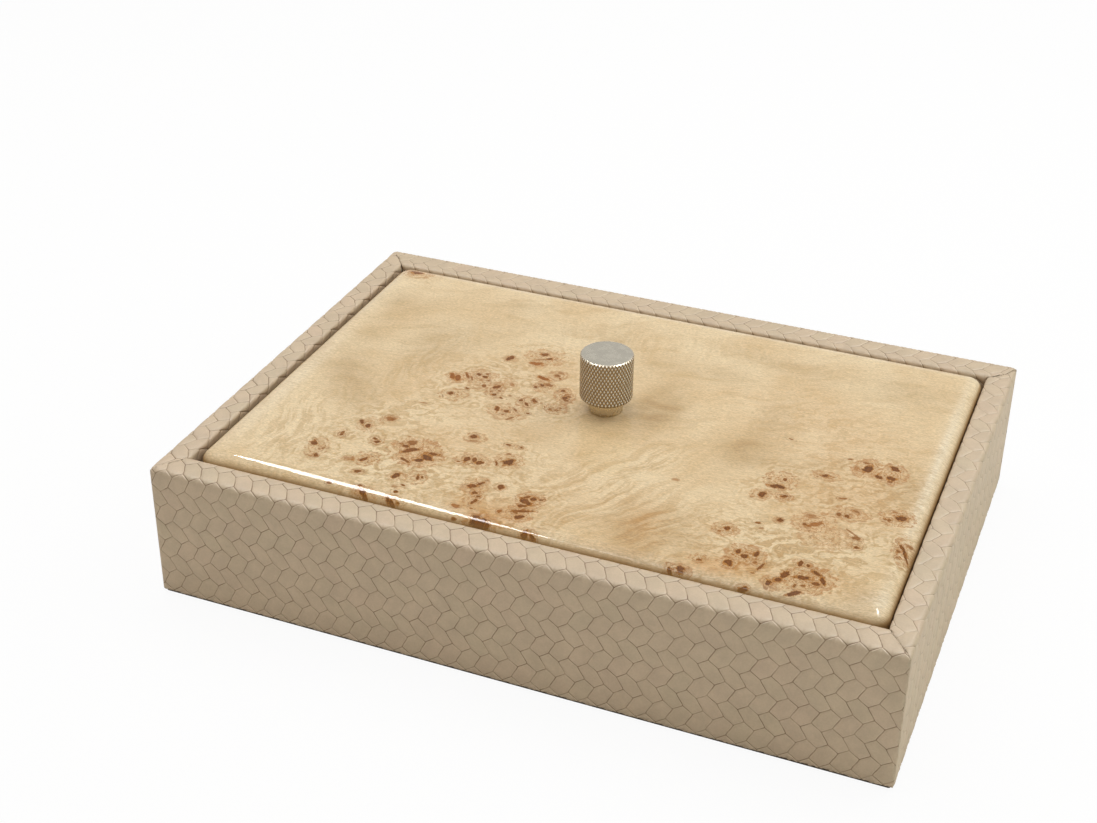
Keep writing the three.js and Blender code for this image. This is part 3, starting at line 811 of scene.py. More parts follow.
# Eyes: place across and along the lid, half length, half width, turn in degrees, depth of colour
# and warmth, from the photograph
eyes = np.array([
    (-120.8, 81.6, 1.4, 0.8, 10, 0.6, 0.3), (-118.4, 81.0, 2.2, 1.2, 10, 0.85, 0.3),
    (-38, 33.3, 1.3, 1.3, 0, 0.7, 0.4), (-35, 30.8, 1, 0.7, 45, 0.85, 0.3),
    (-37, 29.3, 3, 0.6, 20, 0.4, 0.5), (-38.2, 25, 2.2, 1.3, 5, 0.65, 1),
    (-49.8, 25.1, 1.8, 1.2, 75, 0.75, 0.4), (-27, 19.2, 0.9, 0.9, 0, 0.6, 0.4),
    (-25, 17.3, 0.8, 0.5, -30, 0.6, 0.4), (-26.5, 21.7, 1.2, 0.8, 0, 0.35, 0.5),
    (-31, 15, 2.8, 1, -15, 0.85, 0.9), (-27.2, 11, 1.4, 1, -20, 0.55, 0.5),
    (-29.7, 9.7, 1.2, 0.6, -30, 0.8, 0.3), (-31.5, 7.5, 0.9, 0.6, -60, 0.75, 0.3),
    (-56.2, 8, 1, 0.9, 0, 0.75, 0.3), (-53, 7, 1.1, 0.8, -20, 0.85, 0.3),
    (-53, 9.6, 0.8, 0.5, 0, 0.5, 0.4), (-50.5, 4.8, 0.8, 0.5, 30, 0.6, 0.4),
    (-65.2, 2.5, 2.2, 1, -60, 0.85, 0.9), (-62.5, 2, 2.4, 1.1, -55, 0.85, 0.8),
    (-60, 5.5, 1.8, 0.5, -60, 0.7, 0.5), (-57.5, 4.2, 1.8, 0.4, -60, 0.55, 0.5),
    (-53.8, 4.2, 0.6, 0.4, 0, 0.4, 0.5), (-45.5, 1.5, 1.7, 1.1, 60, 0.85, 0.4),
    (-50.5, 0.5, 1, 0.7, -70, 0.65, 0.4), (-43.5, -0.8, 0.6, 0.4, 0, 0.6, 0.4),
    (-46.3, -2.3, 0.8, 0.5, 20, 0.6, 0.4), (-44, -4.2, 1, 0.8, 30, 0.8, 0.3),
    (-40.5, -5.6, 0.7, 0.4, -20, 0.7, 0.3), (-38, -2.8, 0.5, 0.4, 0, 0.5, 0.4),
    (-55.8, -4, 0.9, 0.5, -25, 0.8, 0.3), (-60.2, -9.8, 1.1, 0.9, 30, 0.85, 0.3),
    (-41, 6, 1.6, 0.7, -50, 0.35, 0.9), (-20.5, 8.8, 1, 0.6, 45, 0.8, 0.3),
    (-17.5, 4, 1.3, 1, -60, 0.75, 0.3), (-16.6, 2.2, 0.8, 0.6, 0, 0.7, 0.3),
    (-16.5, 5.6, 0.8, 0.4, 0, 0.7, 0.3), (-32.8, -4.2, 0.9, 0.7, 60, 0.75, 0.4),
    (-29.8, -6, 1.2, 0.6, -55, 0.8, 0.4), (-27.8, -2.8, 1.4, 0.8, -55, 0.7, 0.5),
    (-22.6, -5.2, 0.9, 0.3, -60, 0.6, 0.4), (-16.3, -4, 0.7, 0.5, 0, 0.45, 0.4),
    (-17.2, -6, 1, 0.6, 0, 0.45, 0.4), (-19.8, -6.5, 0.6, 0.4, 0, 0.5, 0.4),
    (-38.8, -13.8, 1.9, 0.8, -70, 0.85, 0.5), (-34.8, -14.2, 1, 0.9, 0, 0.75, 0.4),
    (-32, -12, 1.2, 0.4, -40, 0.6, 0.4), (-26.5, -12.5, 0.7, 0.5, -20, 0.7, 0.4),
    (-31.5, -18.7, 1.5, 0.6, 55, 0.5, 0.5), (-35, -16.8, 0.6, 0.4, 0, 0.5, 0.4),
    (-66.5, -20.8, 1.6, 0.3, 10, 0.4, 0.6), (-73.1, -36.6, 1.8, 1.3, 0, 0.55, 0.6),
    (-72.3, -36.8, 0.8, 0.4, -60, 0.7, 0.3), (-82.1, -42.8, 1.4, 0.7, -60, 0.8, 0.3),
    (-78.6, -44.5, 1.4, 0.9, -60, 0.85, 0.3), (-85.1, -53.1, 1.5, 0.6, -85, 0.6, 0.4),
    (-84.8, -54.1, 0.6, 0.5, 0, 0.8, 0.3), (-71.8, -51.9, 0.9, 0.6, -20, 0.8, 0.3),
    (-70.2, -53.6, 0.9, 0.8, 0, 0.8, 0.3), (-91.9, -61.9, 1.2, 0.5, -50, 0.6, 0.4),
    (-91.5, -63.5, 1.6, 1, -30, 0.8, 0.3), (-86.6, -65.3, 0.7, 0.4, 30, 0.6, 0.4),
    (-87.7, -66.4, 0.5, 0.3, 0, 0.5, 0.4), (-86.8, -70.6, 1.1, 0.7, -60, 0.7, 0.3),
    (-88.4, -71.9, 0.8, 0.5, 0, 0.4, 0.5), (-69.1, -66, 2, 0.9, 70, 0.75, 0.4),
    (-74.7, -68.1, 2.4, 1.2, 20, 0.35, 0.9), (-57.8, -49, 1.6, 1.5, 0, 0.6, 0.5),
    (-59, -52.2, 1.4, 0.8, 0, 0.75, 0.4), (-61.2, -51.2, 0.8, 0.8, 0, 0.4, 0.5),
    (-56.2, -54, 3.2, 1.1, 40, 0.85, 0.4), (-48.4, -56, 2.4, 1.5, -40, 0.95, 0.2),
    (-50.3, -59, 1.7, 1.2, 25, 0.9, 0.2), (-46.9, -53.1, 2.2, 0.8, 0, 0.8, 0.3),
    (-55, -60.9, 2.2, 0.6, -25, 0.75, 0.4), (-53.4, -71.6, 1.8, 1.1, 75, 0.8, 0.3),
    (-45.6, -69.7, 1.5, 0.5, -70, 0.8, 0.3), (-44.1, -69, 0.8, 0.5, -60, 0.7, 0.3),
    (-67.7, -74.4, 1.4, 0.8, 15, 0.7, 0.3), (-48.4, -76.2, 0.7, 0.4, -20, 0.7, 0.3),
    (-48.8, -81.1, 0.7, 0.6, 0, 0.8, 0.3), (-50.6, -78.4, 1, 0.8, 0, 0.25, 0.6),
    (-62.5, -82.2, 1, 0.5, 0, 0.7, 0.3), (-38.4, -35.9, 1.5, 1.2, 30, 0.8, 0.3),
    (-37.5, -38.9, 1.8, 0.6, 15, 0.4, 0.5), (-24.1, -36.2, 0.8, 0.5, 10, 0.75, 0.3),
    (-19.1, -36.4, 0.5, 0.5, 0, 0.7, 0.3), (-21.6, -42.2, 0.8, 0.4, 15, 0.6, 0.4),
    (-19.4, -47.5, 2.1, 1.8, 20, 0.85, 0.2), (-23.4, -49.7, 1.2, 0.4, -60, 0.7, 0.4),
    (-34.4, -51.6, 2, 1, 85, 0.8, 0.3), (-31.6, -50.6, 1.7, 0.8, -70, 0.7, 0.4),
    (-29.1, -51.9, 1.4, 1.2, 0, 0.75, 0.4), (-36.6, -54.2, 0.6, 0.5, 0, 0.6, 0.4),
    (-23, -64.4, 1.8, 0.8, 70, 0.8, 0.4), (-25.6, -67.2, 1.8, 1.2, 25, 0.85, 0.4),
    (-15.4, -63.8, 1.4, 1.1, -50, 0.85, 0.4), (-22.7, -70.9, 1, 1, 0, 0.8, 0.4),
    (-20.4, -72.5, 0.7, 0.6, 0, 0.7, 0.4), (-20.5, -75.8, 1.6, 0.7, 75, 0.8, 0.5),
    (-25.3, -80.9, 1.6, 1, 0, 0.55, 0.9), (-19.7, -80.3, 0.7, 0.4, 0, 0.5, 0.6),
    (-4.1, -65.9, 1.5, 0.6, 50, 0.7, 0.4), (-1.9, -66.4, 1.2, 0.9, 90, 0.85, 0.3),
    (0.8, -65.9, 0.8, 0.6, 0, 0.7, 0.3), (1.9, -65, 0.5, 0.5, 0, 0.4, 0.5),
    (-3.8, -69.1, 2.6, 1.2, -30, 0.9, 0.4), (-3.8, -71.9, 1.6, 0.8, 15, 0.85, 0.4),
    (-2.8, -75, 3.4, 0.7, 20, 0.85, 0.5), (-1.9, -78.8, 1.5, 1.1, 30, 0.8, 0.4),
    (-4.4, -76.6, 1.2, 0.6, -40, 0.6, 0.5), (-9.8, -78.1, 1.1, 0.9, 90, 0.65, 0.9),
    (40.6, -34.4, 1, 0.8, 0, 0.35, 1), (-74, -84.2, 1, 0.8, 0, 0.6, 0.4),
    (-60.6, -84.6, 1.8, 1, -50, 0.9, 0.3), (-59, -86.4, 1.8, 0.8, -60, 0.9, 0.3),
    (-50, -85.4, 1.5, 0.6, -60, 0.9, 0.3), (-48, -86.6, 1.8, 0.8, -50, 0.9, 0.3),
    (-46, -85.6, 0.6, 0.4, 0, 0.6, 0.4), (-24, -86.6, 0.9, 0.6, 0, 0.7, 0.4),
    (-15.6, -83.6, 1.6, 0.5, 0, 0.8, 0.3), (-14.5, -86, 3, 2.5, 0, 0.75, 0.2),
    (-11.3, -86.2, 1.5, 0.8, 90, 0.9, 0.3), (2.8, -86, 1.6, 1.2, 90, 0.9, 0.3),
    (6, -86.6, 1.8, 0.7, -40, 0.9, 0.3), (58.9, -84.4, 1.2, 0.8, 0, 0.85, 0.3),
    (59.3, -85.6, 1, 0.8, 0, 0.85, 0.3), (55.9, -86.5, 1.4, 0.6, -60, 0.95, 0.2),
    (81.4, -86.7, 1.2, 1.2, 0, 0.9, 0.3), (102.7, -0.5, 2.4, 1.5, 80, 0.8, 0.2),
    (101.1, 3.4, 1, 0.6, 0, 0.5, 0.4), (98.6, -1.6, 1.6, 0.8, -70, 0.4, 0.9),
    (111.6, 3.3, 1.8, 1.3, -30, 0.8, 0.3), (112, -3.4, 1.6, 1.2, 0, 0.85, 0.3),
    (107.4, -4.3, 1.3, 1.1, -30, 0.75, 0.3), (111.8, -5.9, 0.8, 0.8, 0, 0.5, 0.4),
    (95.2, 3.6, 0.8, 0.5, 20, 0.55, 0.4), (71.4, 8.8, 0.8, 0.4, -20, 0.5, 0.5),
    (89.8, -10.9, 1.2, 0.8, 20, 0.85, 0.3), (87.1, -12.6, 0.5, 0.4, 0, 0.4, 0.5),
    (76.8, -19.2, 0.8, 0.6, 90, 0.7, 0.4), (75.1, -24.6, 3, 1.1, 8, 0.85, 0.2),
    (79.3, -30, 1.3, 0.8, 30, 0.75, 0.4), (71.8, -31.7, 1.8, 1.2, 90, 0.85, 0.3),
    (68.7, -34.6, 0.5, 0.5, 0, 0.3, 0.5), (98.9, -23, 1.4, 0.6, 15, 0.5, 0.5),
    (100, -33.7, 1.2, 0.7, 90, 0.6, 0.4), (103, -33.5, 0.9, 0.9, 0, 0.7, 0.4),
    (105.4, -29.4, 1.2, 0.7, -30, 0.5, 0.5), (120.7, -27.6, 1.8, 1.6, 0, 0.9, 0.3),
    (116.9, -30.1, 0.9, 0.6, 90, 0.6, 0.4), (115.7, -30.3, 0.6, 0.5, 0, 0.5, 0.4),
    (117.9, -24.4, 1, 0.6, 0, 0.35, 0.6), (93.9, -42.6, 3, 1, 45, 0.55, 0.9),
    (90.7, -44.2, 0.8, 0.8, 0, 0.7, 0.4), (91.4, -38.4, 2, 1, 0, 0.3, 0.7),
    (82.1, -44.9, 1.1, 0.9, 90, 0.8, 0.3), (75.5, -49.6, 0.7, 0.6, 0, 0.6, 0.4),
    (77.5, -52.3, 0.8, 0.6, 0, 0.3, 0.6), (109.1, -45.7, 1.4, 1, 0, 0.55, 0.5),
    (107.1, -43, 2.4, 0.4, -35, 0.5, 0.5), (110.4, -50.9, 0.9, 0.9, 0, 0.8, 0.3),
    (125, -45.1, 2.6, 0.6, -50, 0.85, 0.3), (126.8, -48.7, 3, 0.5, -60, 0.85, 0.3),
    (124.1, -47.3, 0.9, 0.9, 0, 0.6, 0.4), (124.3, -50.9, 0.9, 0.8, 0, 0.5, 0.4),
    (127.1, -42.3, 1.6, 0.7, 0, 0.5, 0.4), (66.6, -56.9, 1, 1, 0, 0.85, 0.4),
    (64.6, -59.4, 0.6, 0.5, 0, 0.5, 0.5), (74.3, -68.7, 1.3, 0.8, 90, 0.85, 0.3),
    (76.8, -70.4, 1.2, 1.1, 0, 0.9, 0.3), (80.3, -67.6, 1.4, 0.9, 90, 0.85, 0.3),
    (73, -76.4, 1.9, 1.3, -60, 0.9, 0.4), (81.1, -72.6, 0.8, 0.8, 0, 0.5, 0.5),
    (83.6, -74.4, 2.6, 0.5, 75, 0.7, 0.4), (82.1, -78.7, 0.6, 0.4, 0, 0.4, 0.5),
    (63.4, -78.4, 0.8, 0.5, 0, 0.7, 0.4), (95.4, -67.3, 1.6, 0.7, 90, 0.8, 0.3),
    (98.1, -67.3, 0.8, 0.8, 0, 0.8, 0.3), (92.3, -75.5, 2, 1.2, 90, 0.8, 0.4),
    (90.7, -79.1, 1.3, 1, 0, 0.85, 0.3), (98.2, -74.8, 2.6, 1, 10, 0.9, 0.3),
    (102, -70.8, 2.2, 0.7, -30, 0.95, 0.3), (104.8, -74.3, 2, 0.8, -60, 0.95, 0.3),
    (103, -76.5, 1.2, 1, 0, 0.7, 0.4), (97.5, -83.7, 2, 0.8, 30, 0.8, 0.3),
    (99.3, -79.1, 0.8, 0.6, 0, 0.6, 0.4), (96.8, -80.1, 1.2, 0.5, 90, 0.6, 0.4),
    (88.4, -81.7, 1.4, 0.9, 90, 0.85, 0.3),
])
# Knots, the ringed blobs that hold the eyes: place, half length, half width, turn, strength, rosiness
knots = np.array([
    (-118, 80.6, 6, 4, 0, 0.8, 0.7), (-49.6, 25, 3, 2.6, 0, 0.5, 0.5), (-37, 31, 7.5, 6, 15, 0.8, 0.5),
    (-38, 24.6, 4, 2.5, 0, 0.6, 0.7), (-26.6, 19.4, 3.6, 3.4, 0, 0.8, 0.4),
    (-30.6, 14.6, 4, 2.2, -10, 0.6, 0.9), (-28.6, 9, 3.8, 4, 0, 0.9, 0.3),
    (-18.4, 5.2, 3.6, 5.6, 25, 1, 0.2), (-63, 2.6, 4.4, 4, 0, 0.8, 1), (-54.4, 8.2, 6, 3.4, 0, 0.8, 0.4),
    (-53, 1.6, 4, 4, 0, 0.7, 0.4), (-42.4, 6.6, 3.6, 2.6, -30, 0.5, 0.8), (-45, -1, 3.4, 6, 10, 0.8, 0.5),
    (-58.6, -10.4, 5.2, 4, 10, 0.9, 0.2), (-30, -4, 4.4, 4, 0, 0.8, 0.5), (-18, -5.2, 4, 3.6, 0, 0.9, 0.2),
    (-34, -14.4, 7, 5.4, 0, 0.8, 0.8), (-73, -37, 3.4, 2.8, 0, 0.8, 0.4),
    (-78.6, -43.4, 4.2, 5, 0, 0.6, 0.4), (-37.8, -36.6, 4, 3.4, 0, 0.8, 0.3),
    (-22, -36.8, 4.6, 1.8, 0, 0.6, 0.4), (-19.6, -46.6, 5, 4.6, 0, 0.9, 0.3),
    (-85.2, -53.6, 2.6, 2.8, 0, 0.7, 0.2), (-71, -53, 3, 2.6, 0, 0.8, 0.1),
    (-53.4, -54.6, 9.5, 8, -20, 1, 0.8), (-32, -51.6, 6, 4.4, 0, 0.8, 0.6),
    (-89, -65.6, 3.8, 6, 10, 0.7, 0.5), (-68.4, -65.6, 4.6, 4.2, 0, 0.9, 0.6),
    (-46, -70, 3.6, 4, 0, 0.8, 0.3), (-53, -71.6, 2.8, 3, 0, 0.6, 0.6), (-24, -66.4, 4.4, 5, 0, 0.7, 0.6),
    (-21.4, -74, 3, 5, 0, 0.6, 0.5), (-15.6, -64, 2.2, 2, 0, 0.6, 0.6), (-2.4, -67.6, 5, 4.6, 0, 0.9, 0.6),
    (-3, -76, 5, 5, 0, 1, 0.4), (-67.6, -74.8, 2.6, 2, 0, 0.5, 0.4), (-49, -77.4, 2.2, 2.2, 0, 0.5, 0.3),
    (-60, -85.2, 4, 3, 0, 0.8, 0.3), (-48, -86, 4, 3, 0, 0.8, 0.3), (-14, -86, 6, 3.6, 0, 0.9, 0.4),
    (4, -86.2, 4, 2.6, 0, 0.8, 0.3), (102, 0, 6, 4.6, 70, 1, 0.8), (111.8, -0.6, 4.6, 6.4, 0, 1, 0.7),
    (90, -11, 5, 2.8, 0, 0.8, 0.4), (75.6, -20.6, 5.4, 5.4, 0, 0.9, 0.7),
    (71.2, -31.8, 3.4, 3.6, 0, 0.8, 0.6), (79.2, -30.2, 3, 2.8, 0, 0.9, 0.3),
    (103, -32, 6.4, 4, 0, 0.8, 0.9), (119.4, -28, 5.6, 4.6, 10, 1, 0.7), (93, -41.6, 7, 5.4, 30, 0.8, 1),
    (99, -49, 8, 6.6, 0, 0.6, 0.9), (82, -45.2, 2.2, 2.2, 0, 0.6, 0.3), (110, -49, 2.2, 3.6, 0, 0.5, 0.5),
    (125.6, -47, 3.6, 7.6, 10, 0.9, 0.4), (66, -57.6, 4.4, 3.6, 0, 0.9, 0.3),
    (77, -69.4, 6.4, 5.2, 0, 1, 0.4), (73, -76.4, 3.4, 3, 0, 0.9, 0.5), (63, -77.6, 2.8, 2.4, 0, 0.9, 0.2),
    (97, -67, 4, 2.2, 0, 0.8, 0.2), (100, -75.4, 8, 6.6, 30, 1, 0.3), (90, -80.6, 4, 3.4, 0, 0.8, 0.4),
    (58, -85.6, 4.6, 2.6, 0, 0.9, 0.4), (81.4, -86.6, 2.6, 2, 0, 0.8, 0.3),
])
# Soft zones of tone: place, half length, half width, turn and strength, from the photograph
zones = {
    # Orange warmth round the front clusters
    "amber": [
        (-4, -56, 120, 46, 0, 0.13), (-11, -79, 10, 6, 0, 0.9), (-24, -72, 5, 9, 0, 0.7),
        (71, -79, 11, 4, 15, 0.9), (-1, -72, 6, 8, 0, 0.5), (-52, -57, 9, 7, 0, 0.4),
        (80, -71, 8, 6, 0, 0.5), (104, -72, 8, 7, 0, 0.4), (-8, -84, 12, 3, 0, 0.7),
        (108, -3, 9, 5, 0, 0.3), (66, -57, 5, 4, 0, 0.4), (84, -75, 26, 9, 0, 0.3),
        (12, -60, 14, 12, 60, 0.25), (40, -66, 14, 8, 100, 0.4), (-62, -85, 8, 3, 0, 0.4),
        (-48, -86, 6, 3, 0, 0.4),
    ],
    # Brownish clouds; the two beside the knob, near 17 to 19 across and 12 along, are partly the knob's
    # painted shadow
    "smoke_and_knob_shadow": [
        (-88, 28, 20, 9, 85, 0.5), (-103, -24, 12, 8, 0, 0.5), (17, 12, 12, 12, 0, 0.7),
        (36, -72, 12, 9, 100, 0.7), (62, 22, 14, 7, 90, 0.5), (66, -10, 12, 8, 0, 0.45),
        (119, -8, 8, 12, 0, 0.5), (-112, 54, 14, 9, 0, 0.45), (-15, 55, 8, 6, 0, 0.5),
        (105, 54, 12, 8, 0, 0.3), (-102, -16, 24, 9, -35, 0.7), (-112, 20, 28, 10, 86, 0.5),
        (-80, 18, 30, 7, 75, 0.45), (19, 12, 18, 8, 95, 1.0), (8, 44, 13, 9, 20, 0.4),
        (57, -8, 18, 7, 80, 0.45), (44, -68, 18, 9, 104, 1.0), (29, -60, 20, 3.5, 62, 0.5),
        (1, -11, 8, 7, 0, 0.35), (14, -66, 22, 5, 70, 0.3), (75, 60, 34, 12, -4, 0.25),
        (96, -62, 11, 5, 0, 0.3), (-30, 60, 36, 7, 18, 0.25), (-66, 30, 26, 5, 60, 0.3),
        (52, -4, 12, 9, 0, 0.3), (-92, 62, 22, 6, 50, 0.2), (-15, -28, 16, 5, -20, 0.25),
        (-100, -76, 22, 4, 84, 0.35), (118, -78, 8, 8, 0, 0.6), (40, 65, 26, 5, -10, 0.3),
        (119, -10, 6, 16, 0, 0.45), (119, -50, 5, 12, 0, 0.4), (52, -66, 11, 7, 100, 0.7),
        (36, 45, 12, 7, 0, 0.45), (-104, -4, 8, 10, 0, 0.4), (-89, -36, 8, 8, 0, 0.35),
        (88, -8, 10, 7, 0, 0.35), (-62, 68, 14, 6, 20, 0.4), (62, -74, 10, 6, 0, 0.4),
        (105, 62, 16, 8, 0, 0.3), (-118, 52, 7, 12, 0, 0.35),
    ],
    # Creamy clear wood; the long strip along the right edge, at 127.5 across, is a painted reflection
    "pale_and_edge_shine": [
        (-45, -56, 18, 14, 0, 0.4), (-108, -58, 16, 14, 0, 0.5), (40, -42, 14, 9, 0, 0.6),
        (75, -52, 8, 8, 0, 0.6), (-2, -12, 8, 10, 0, 0.3), (-80, -76, 20, 8, 0, 0.4),
        (127.5, -10, 3.2, 80, 0, 0.5), (-116, -40, 14, 44, 0, 0.9), (-121, 50, 6, 40, 0, 0.6),
        (36, -44, 10, 14, 0, 0.6), (59, -37, 11, 10, 0, 0.8), (-62, -28, 15, 8, 0, 0.5),
        (-104, -60, 26, 9, 95, 0.6), (22, -36, 18, 7, 60, 0.7), (8, -56, 24, 6, 66, 0.6),
        (-100, 66, 26, 14, 0, 0.35), (-76, -78, 26, 6, 0, 0.5), (112, 32, 14, 30, 0, 0.25),
        (116, -62, 6, 8, 0, 0.4), (-34, -80, 12, 5, 0, 0.5), (40, 5, 10, 24, 10, 0.3),
        (84, -84, 30, 3, 0, 0.3), (-8, -40, 10, 10, 0, 0.4), (52, -78, 3, 8, -10, 0.5),
        (78, 56, 14, 8, 0, 0.5), (-32, 30, 6, 5, 0, 0.4), (-45, -64, 20, 6, 0, 0.4),
        (-96, -56, 14, 12, 0, 0.4),
    ],
    # Rosy wood that holds the clusters
    "rosy": [
        (104, -18, 28, 34, 0, 0.85), (-42, -2, 32, 22, 10, 0.4), (-46, -50, 24, 16, 0, 0.5),
        (-118, 80, 9, 6, 0, 0.6), (70, 30, 34, 22, 0, 0.3), (-30, 28, 16, 10, 0, 0.4),
        (-14, -70, 16, 12, 0, 0.5), (66, -60, 14, 8, 0, 0.3),
    ],
    # Bold flames in front of the knob and at the front left
    "blaze": [
        (15, -56, 34, 17, 62, 1.0), (46, -62, 20, 9, 78, 0.8), (30, -22, 12, 8, 60, 0.5),
        (-36, -78, 12, 7, 50, 0.6),
    ],
    # Folded figure between the eyes
    "wrinkle": [
        (-60, -64, 34, 20, 0, 0.9), (-12, -62, 18, 18, 0, 0.5), (82, -62, 26, 20, 0, 0.9),
        (-42, 4, 30, 22, 0, 0.6), (-70, -30, 20, 12, 30, 0.6), (115, -50, 14, 20, 0, 0.6),
    ],
    # Faint wisps of grain
    "wisp": [
        (-103, -58, 28, 14, 97, 1.0), (-82, 8, 30, 6, 75, 0.5), (0, 60, 60, 12, 10, 0.25),
    ],
    # Painted reflection: a milky shine along the lid's edges
    "painted_edge_shine": [
        (0, 84.5, 125, 2.0, 0, 0.6), (125.2, -6, 2.2, 78, 0, 0.9), (122, -78, 7, 4, 30, 0.5),
        (60, -85.5, 50, 1.6, 0, 0.45), (-121, -30, 3, 50, 0, 0.5),
    ],
}


def lid_ring(inset, per_side_x, per_side_y):
    """Plan points of the lid's outline at an inset, anticlockwise from the right side's middle run,
    each set by its share of the way from the middle of its side to the corner's diagonal."""
    half_x, half_y = lid_half_x - inset, lid_half_y - inset
    radius = max(lid_corner - inset, 0)

    def run(share, half, other):
        """Straight along a side first, then by radius times the sine and cosine of the angle turned."""
        way = np.abs(share) * (half - radius + radius * math.pi / 4)
        turn = np.maximum(way - (half - radius), 0) / max(radius, 1e-9)
        along = np.minimum(way, half - radius) + radius * np.sin(turn)
        return np.sign(share) * along, other - radius + radius * np.cos(turn)

    y, x = run(np.linspace(-1, 1, per_side_y + 1)[:-1], half_y, half_x)
    right = np.stack([x, y], 1)
    x, y = run(-np.linspace(-1, 1, per_side_x + 1)[:-1], half_x, half_y)
    back = np.stack([x, y], 1)
    return np.concatenate([right, back, -right, -back])


def veneer_shell():
    """The veneer as a fine grid over the flat of the lid, joined to rings that run round its
    elliptical edge and down its side, with the screw's hole left open. Gives the object and the
    place of each outer point on the sheet before it was bent."""
    inner_x, inner_y = lid_half_x - flat_border, lid_half_y - flat_border
    count_x, count_y = round(2 * inner_x / grid_step), round(2 * inner_y / grid_step)
    x = np.linspace(-inner_x, inner_x, count_x + 1)
    y = np.linspace(-inner_y, inner_y, count_y + 1)
    grid = np.stack(np.meshgrid(x, y), -1).reshape(-1, 2)
    index = np.arange(len(grid)).reshape(count_y + 1, count_x + 1)
    flat_faces = np.stack([index[:-1, :-1], index[:-1, 1:], index[1:, 1:], index[1:, :-1]], -1)
    border = np.concatenate([index[:-1, -1], index[-1, :0:-1], index[:0:-1, 0], index[0, :-1]])
    angles = np.linspace(math.pi / 2, 0, 15)[1:]
    inset = edge_run - edge_run * np.cos(angles)
    drop = edge_drop - edge_drop * np.sin(angles)
    walked = np.cumsum(np.hypot(np.diff(inset, prepend=edge_run), np.diff(drop, prepend=0)))
    under_inset = core_round - (core_round - veneer_thick) * np.cos(angles)
    under_drop = core_round - (core_round - veneer_thick) * np.sin(angles)
    # Each ring: its inset on the outer skin and on the flat sheet, its drop, and the inner skin's two
    rings = [(first_ring, first_ring, 0.0, first_ring, 0.0), (edge_run, edge_run, 0.0, edge_run, 0.0)]
    rings += zip(inset, edge_run - walked, drop, under_inset, under_drop)
    for extra in (*side_rings, lid_top - edge_drop - veneer_foot):
        down = edge_drop + extra
        rings.append((0.0, edge_run - walked[-1] - extra, down, veneer_thick, down))
    outer = [np.column_stack([grid, np.full(len(grid), lid_top)])]
    under = [np.column_stack([grid, np.full(len(grid), lid_top - veneer_thick)])]
    sheet = [grid]
    faces = [flat_faces.reshape(-1, 4)]
    previous = border
    for outer_inset, sheet_inset, outer_drop, inner_inset, inner_drop in rings:
        around = len(grid) + (len(faces) - 1) * len(border) + np.arange(len(border))
        ring = lid_ring(outer_inset, count_x, count_y)
        outer.append(np.column_stack([ring, np.full(len(ring), lid_top - outer_drop)]))
        ring = lid_ring(inner_inset, count_x, count_y)
        level = lid_top - max(inner_drop, veneer_thick)
        under.append(np.column_stack([ring, np.full(len(ring), level)]))
        sheet.append(lid_ring(sheet_inset, count_x, count_y))
        faces.append(np.stack([previous, around, np.roll(around, -1), np.roll(previous, -1)], 1))
        previous = around
    outer, under, sheet, faces = (np.concatenate(rows) for rows in (outer, under, sheet, faces))
    from_screw = np.hypot(*(outer[:, :2] + lid_centre[:2] - knob_centre[:2]).T)
    faces = faces[(from_screw[faces] > screw_hole).all(1)]
    shift = np.array([lid_centre[0], lid_centre[1], 0])
    piece, used = solid_shell("veneer", outer + shift, under + shift, faces)
    return piece, sheet[used] + lid_centre[:2]


veneer, sheet_place = veneer_shell()
sheet_place = np.concatenate([sheet_place, sheet_place])
corners = np.zeros(len(veneer.data.loops), np.int32)
veneer.data.loops.foreach_get("vertex_index", corners)
corners = corners.reshape(-1, 4)
middles = sheet_place[corners].mean(1)


def own_axes(away_x, away_y, long_half, short_half, turn):
    """Offsets from a mark's middle in its own axes, turned by degrees, with 1 at the mark's edge."""
    turned = np.radians(turn)
    along = (away_x * np.cos(turned) + away_y * np.sin(turned)) / long_half
    aside = (away_y * np.cos(turned) - away_x * np.sin(turned)) / short_half
    return along, aside


def carry_nearest(marks, layers):
    """For each face, the nearest two of the marks: at every corner of the face its place in the
    mark's own axes and the mark's size, strength and colour, so that the finish can draw them at
    any sharpness."""
    reach = np.hypot(middles[:, None, 0] - marks[None, :, 0], middles[:, None, 1] - marks[None, :, 1])
    nearest = np.argsort(reach - (marks[:, 2] + marks[:, 3]) / 2, 1)
    for rank, layer in enumerate(layers):
        chosen = marks[nearest[:, rank]][:, None, :]
        away = sheet_place[corners] - chosen[..., :2]
        along, aside = own_axes(away[..., 0], away[..., 1], chosen[..., 2], chosen[..., 3], chosen[..., 4])
        size = np.sqrt(chosen[..., 2] * chosen[..., 3]) + 0 * along
        set_attribute(veneer, layer, "FLOAT_VECTOR", "CORNER", np.stack([along, aside, size], -1))
        odds = chance(nearest[:, rank])[:, None]
        kind = [chosen[..., 5] + 0 * along, chosen[..., 6] + 0 * along, odds + 0 * along]
        set_attribute(veneer, layer + "_kind", "FLOAT_VECTOR", "CORNER", np.stack(kind, -1))


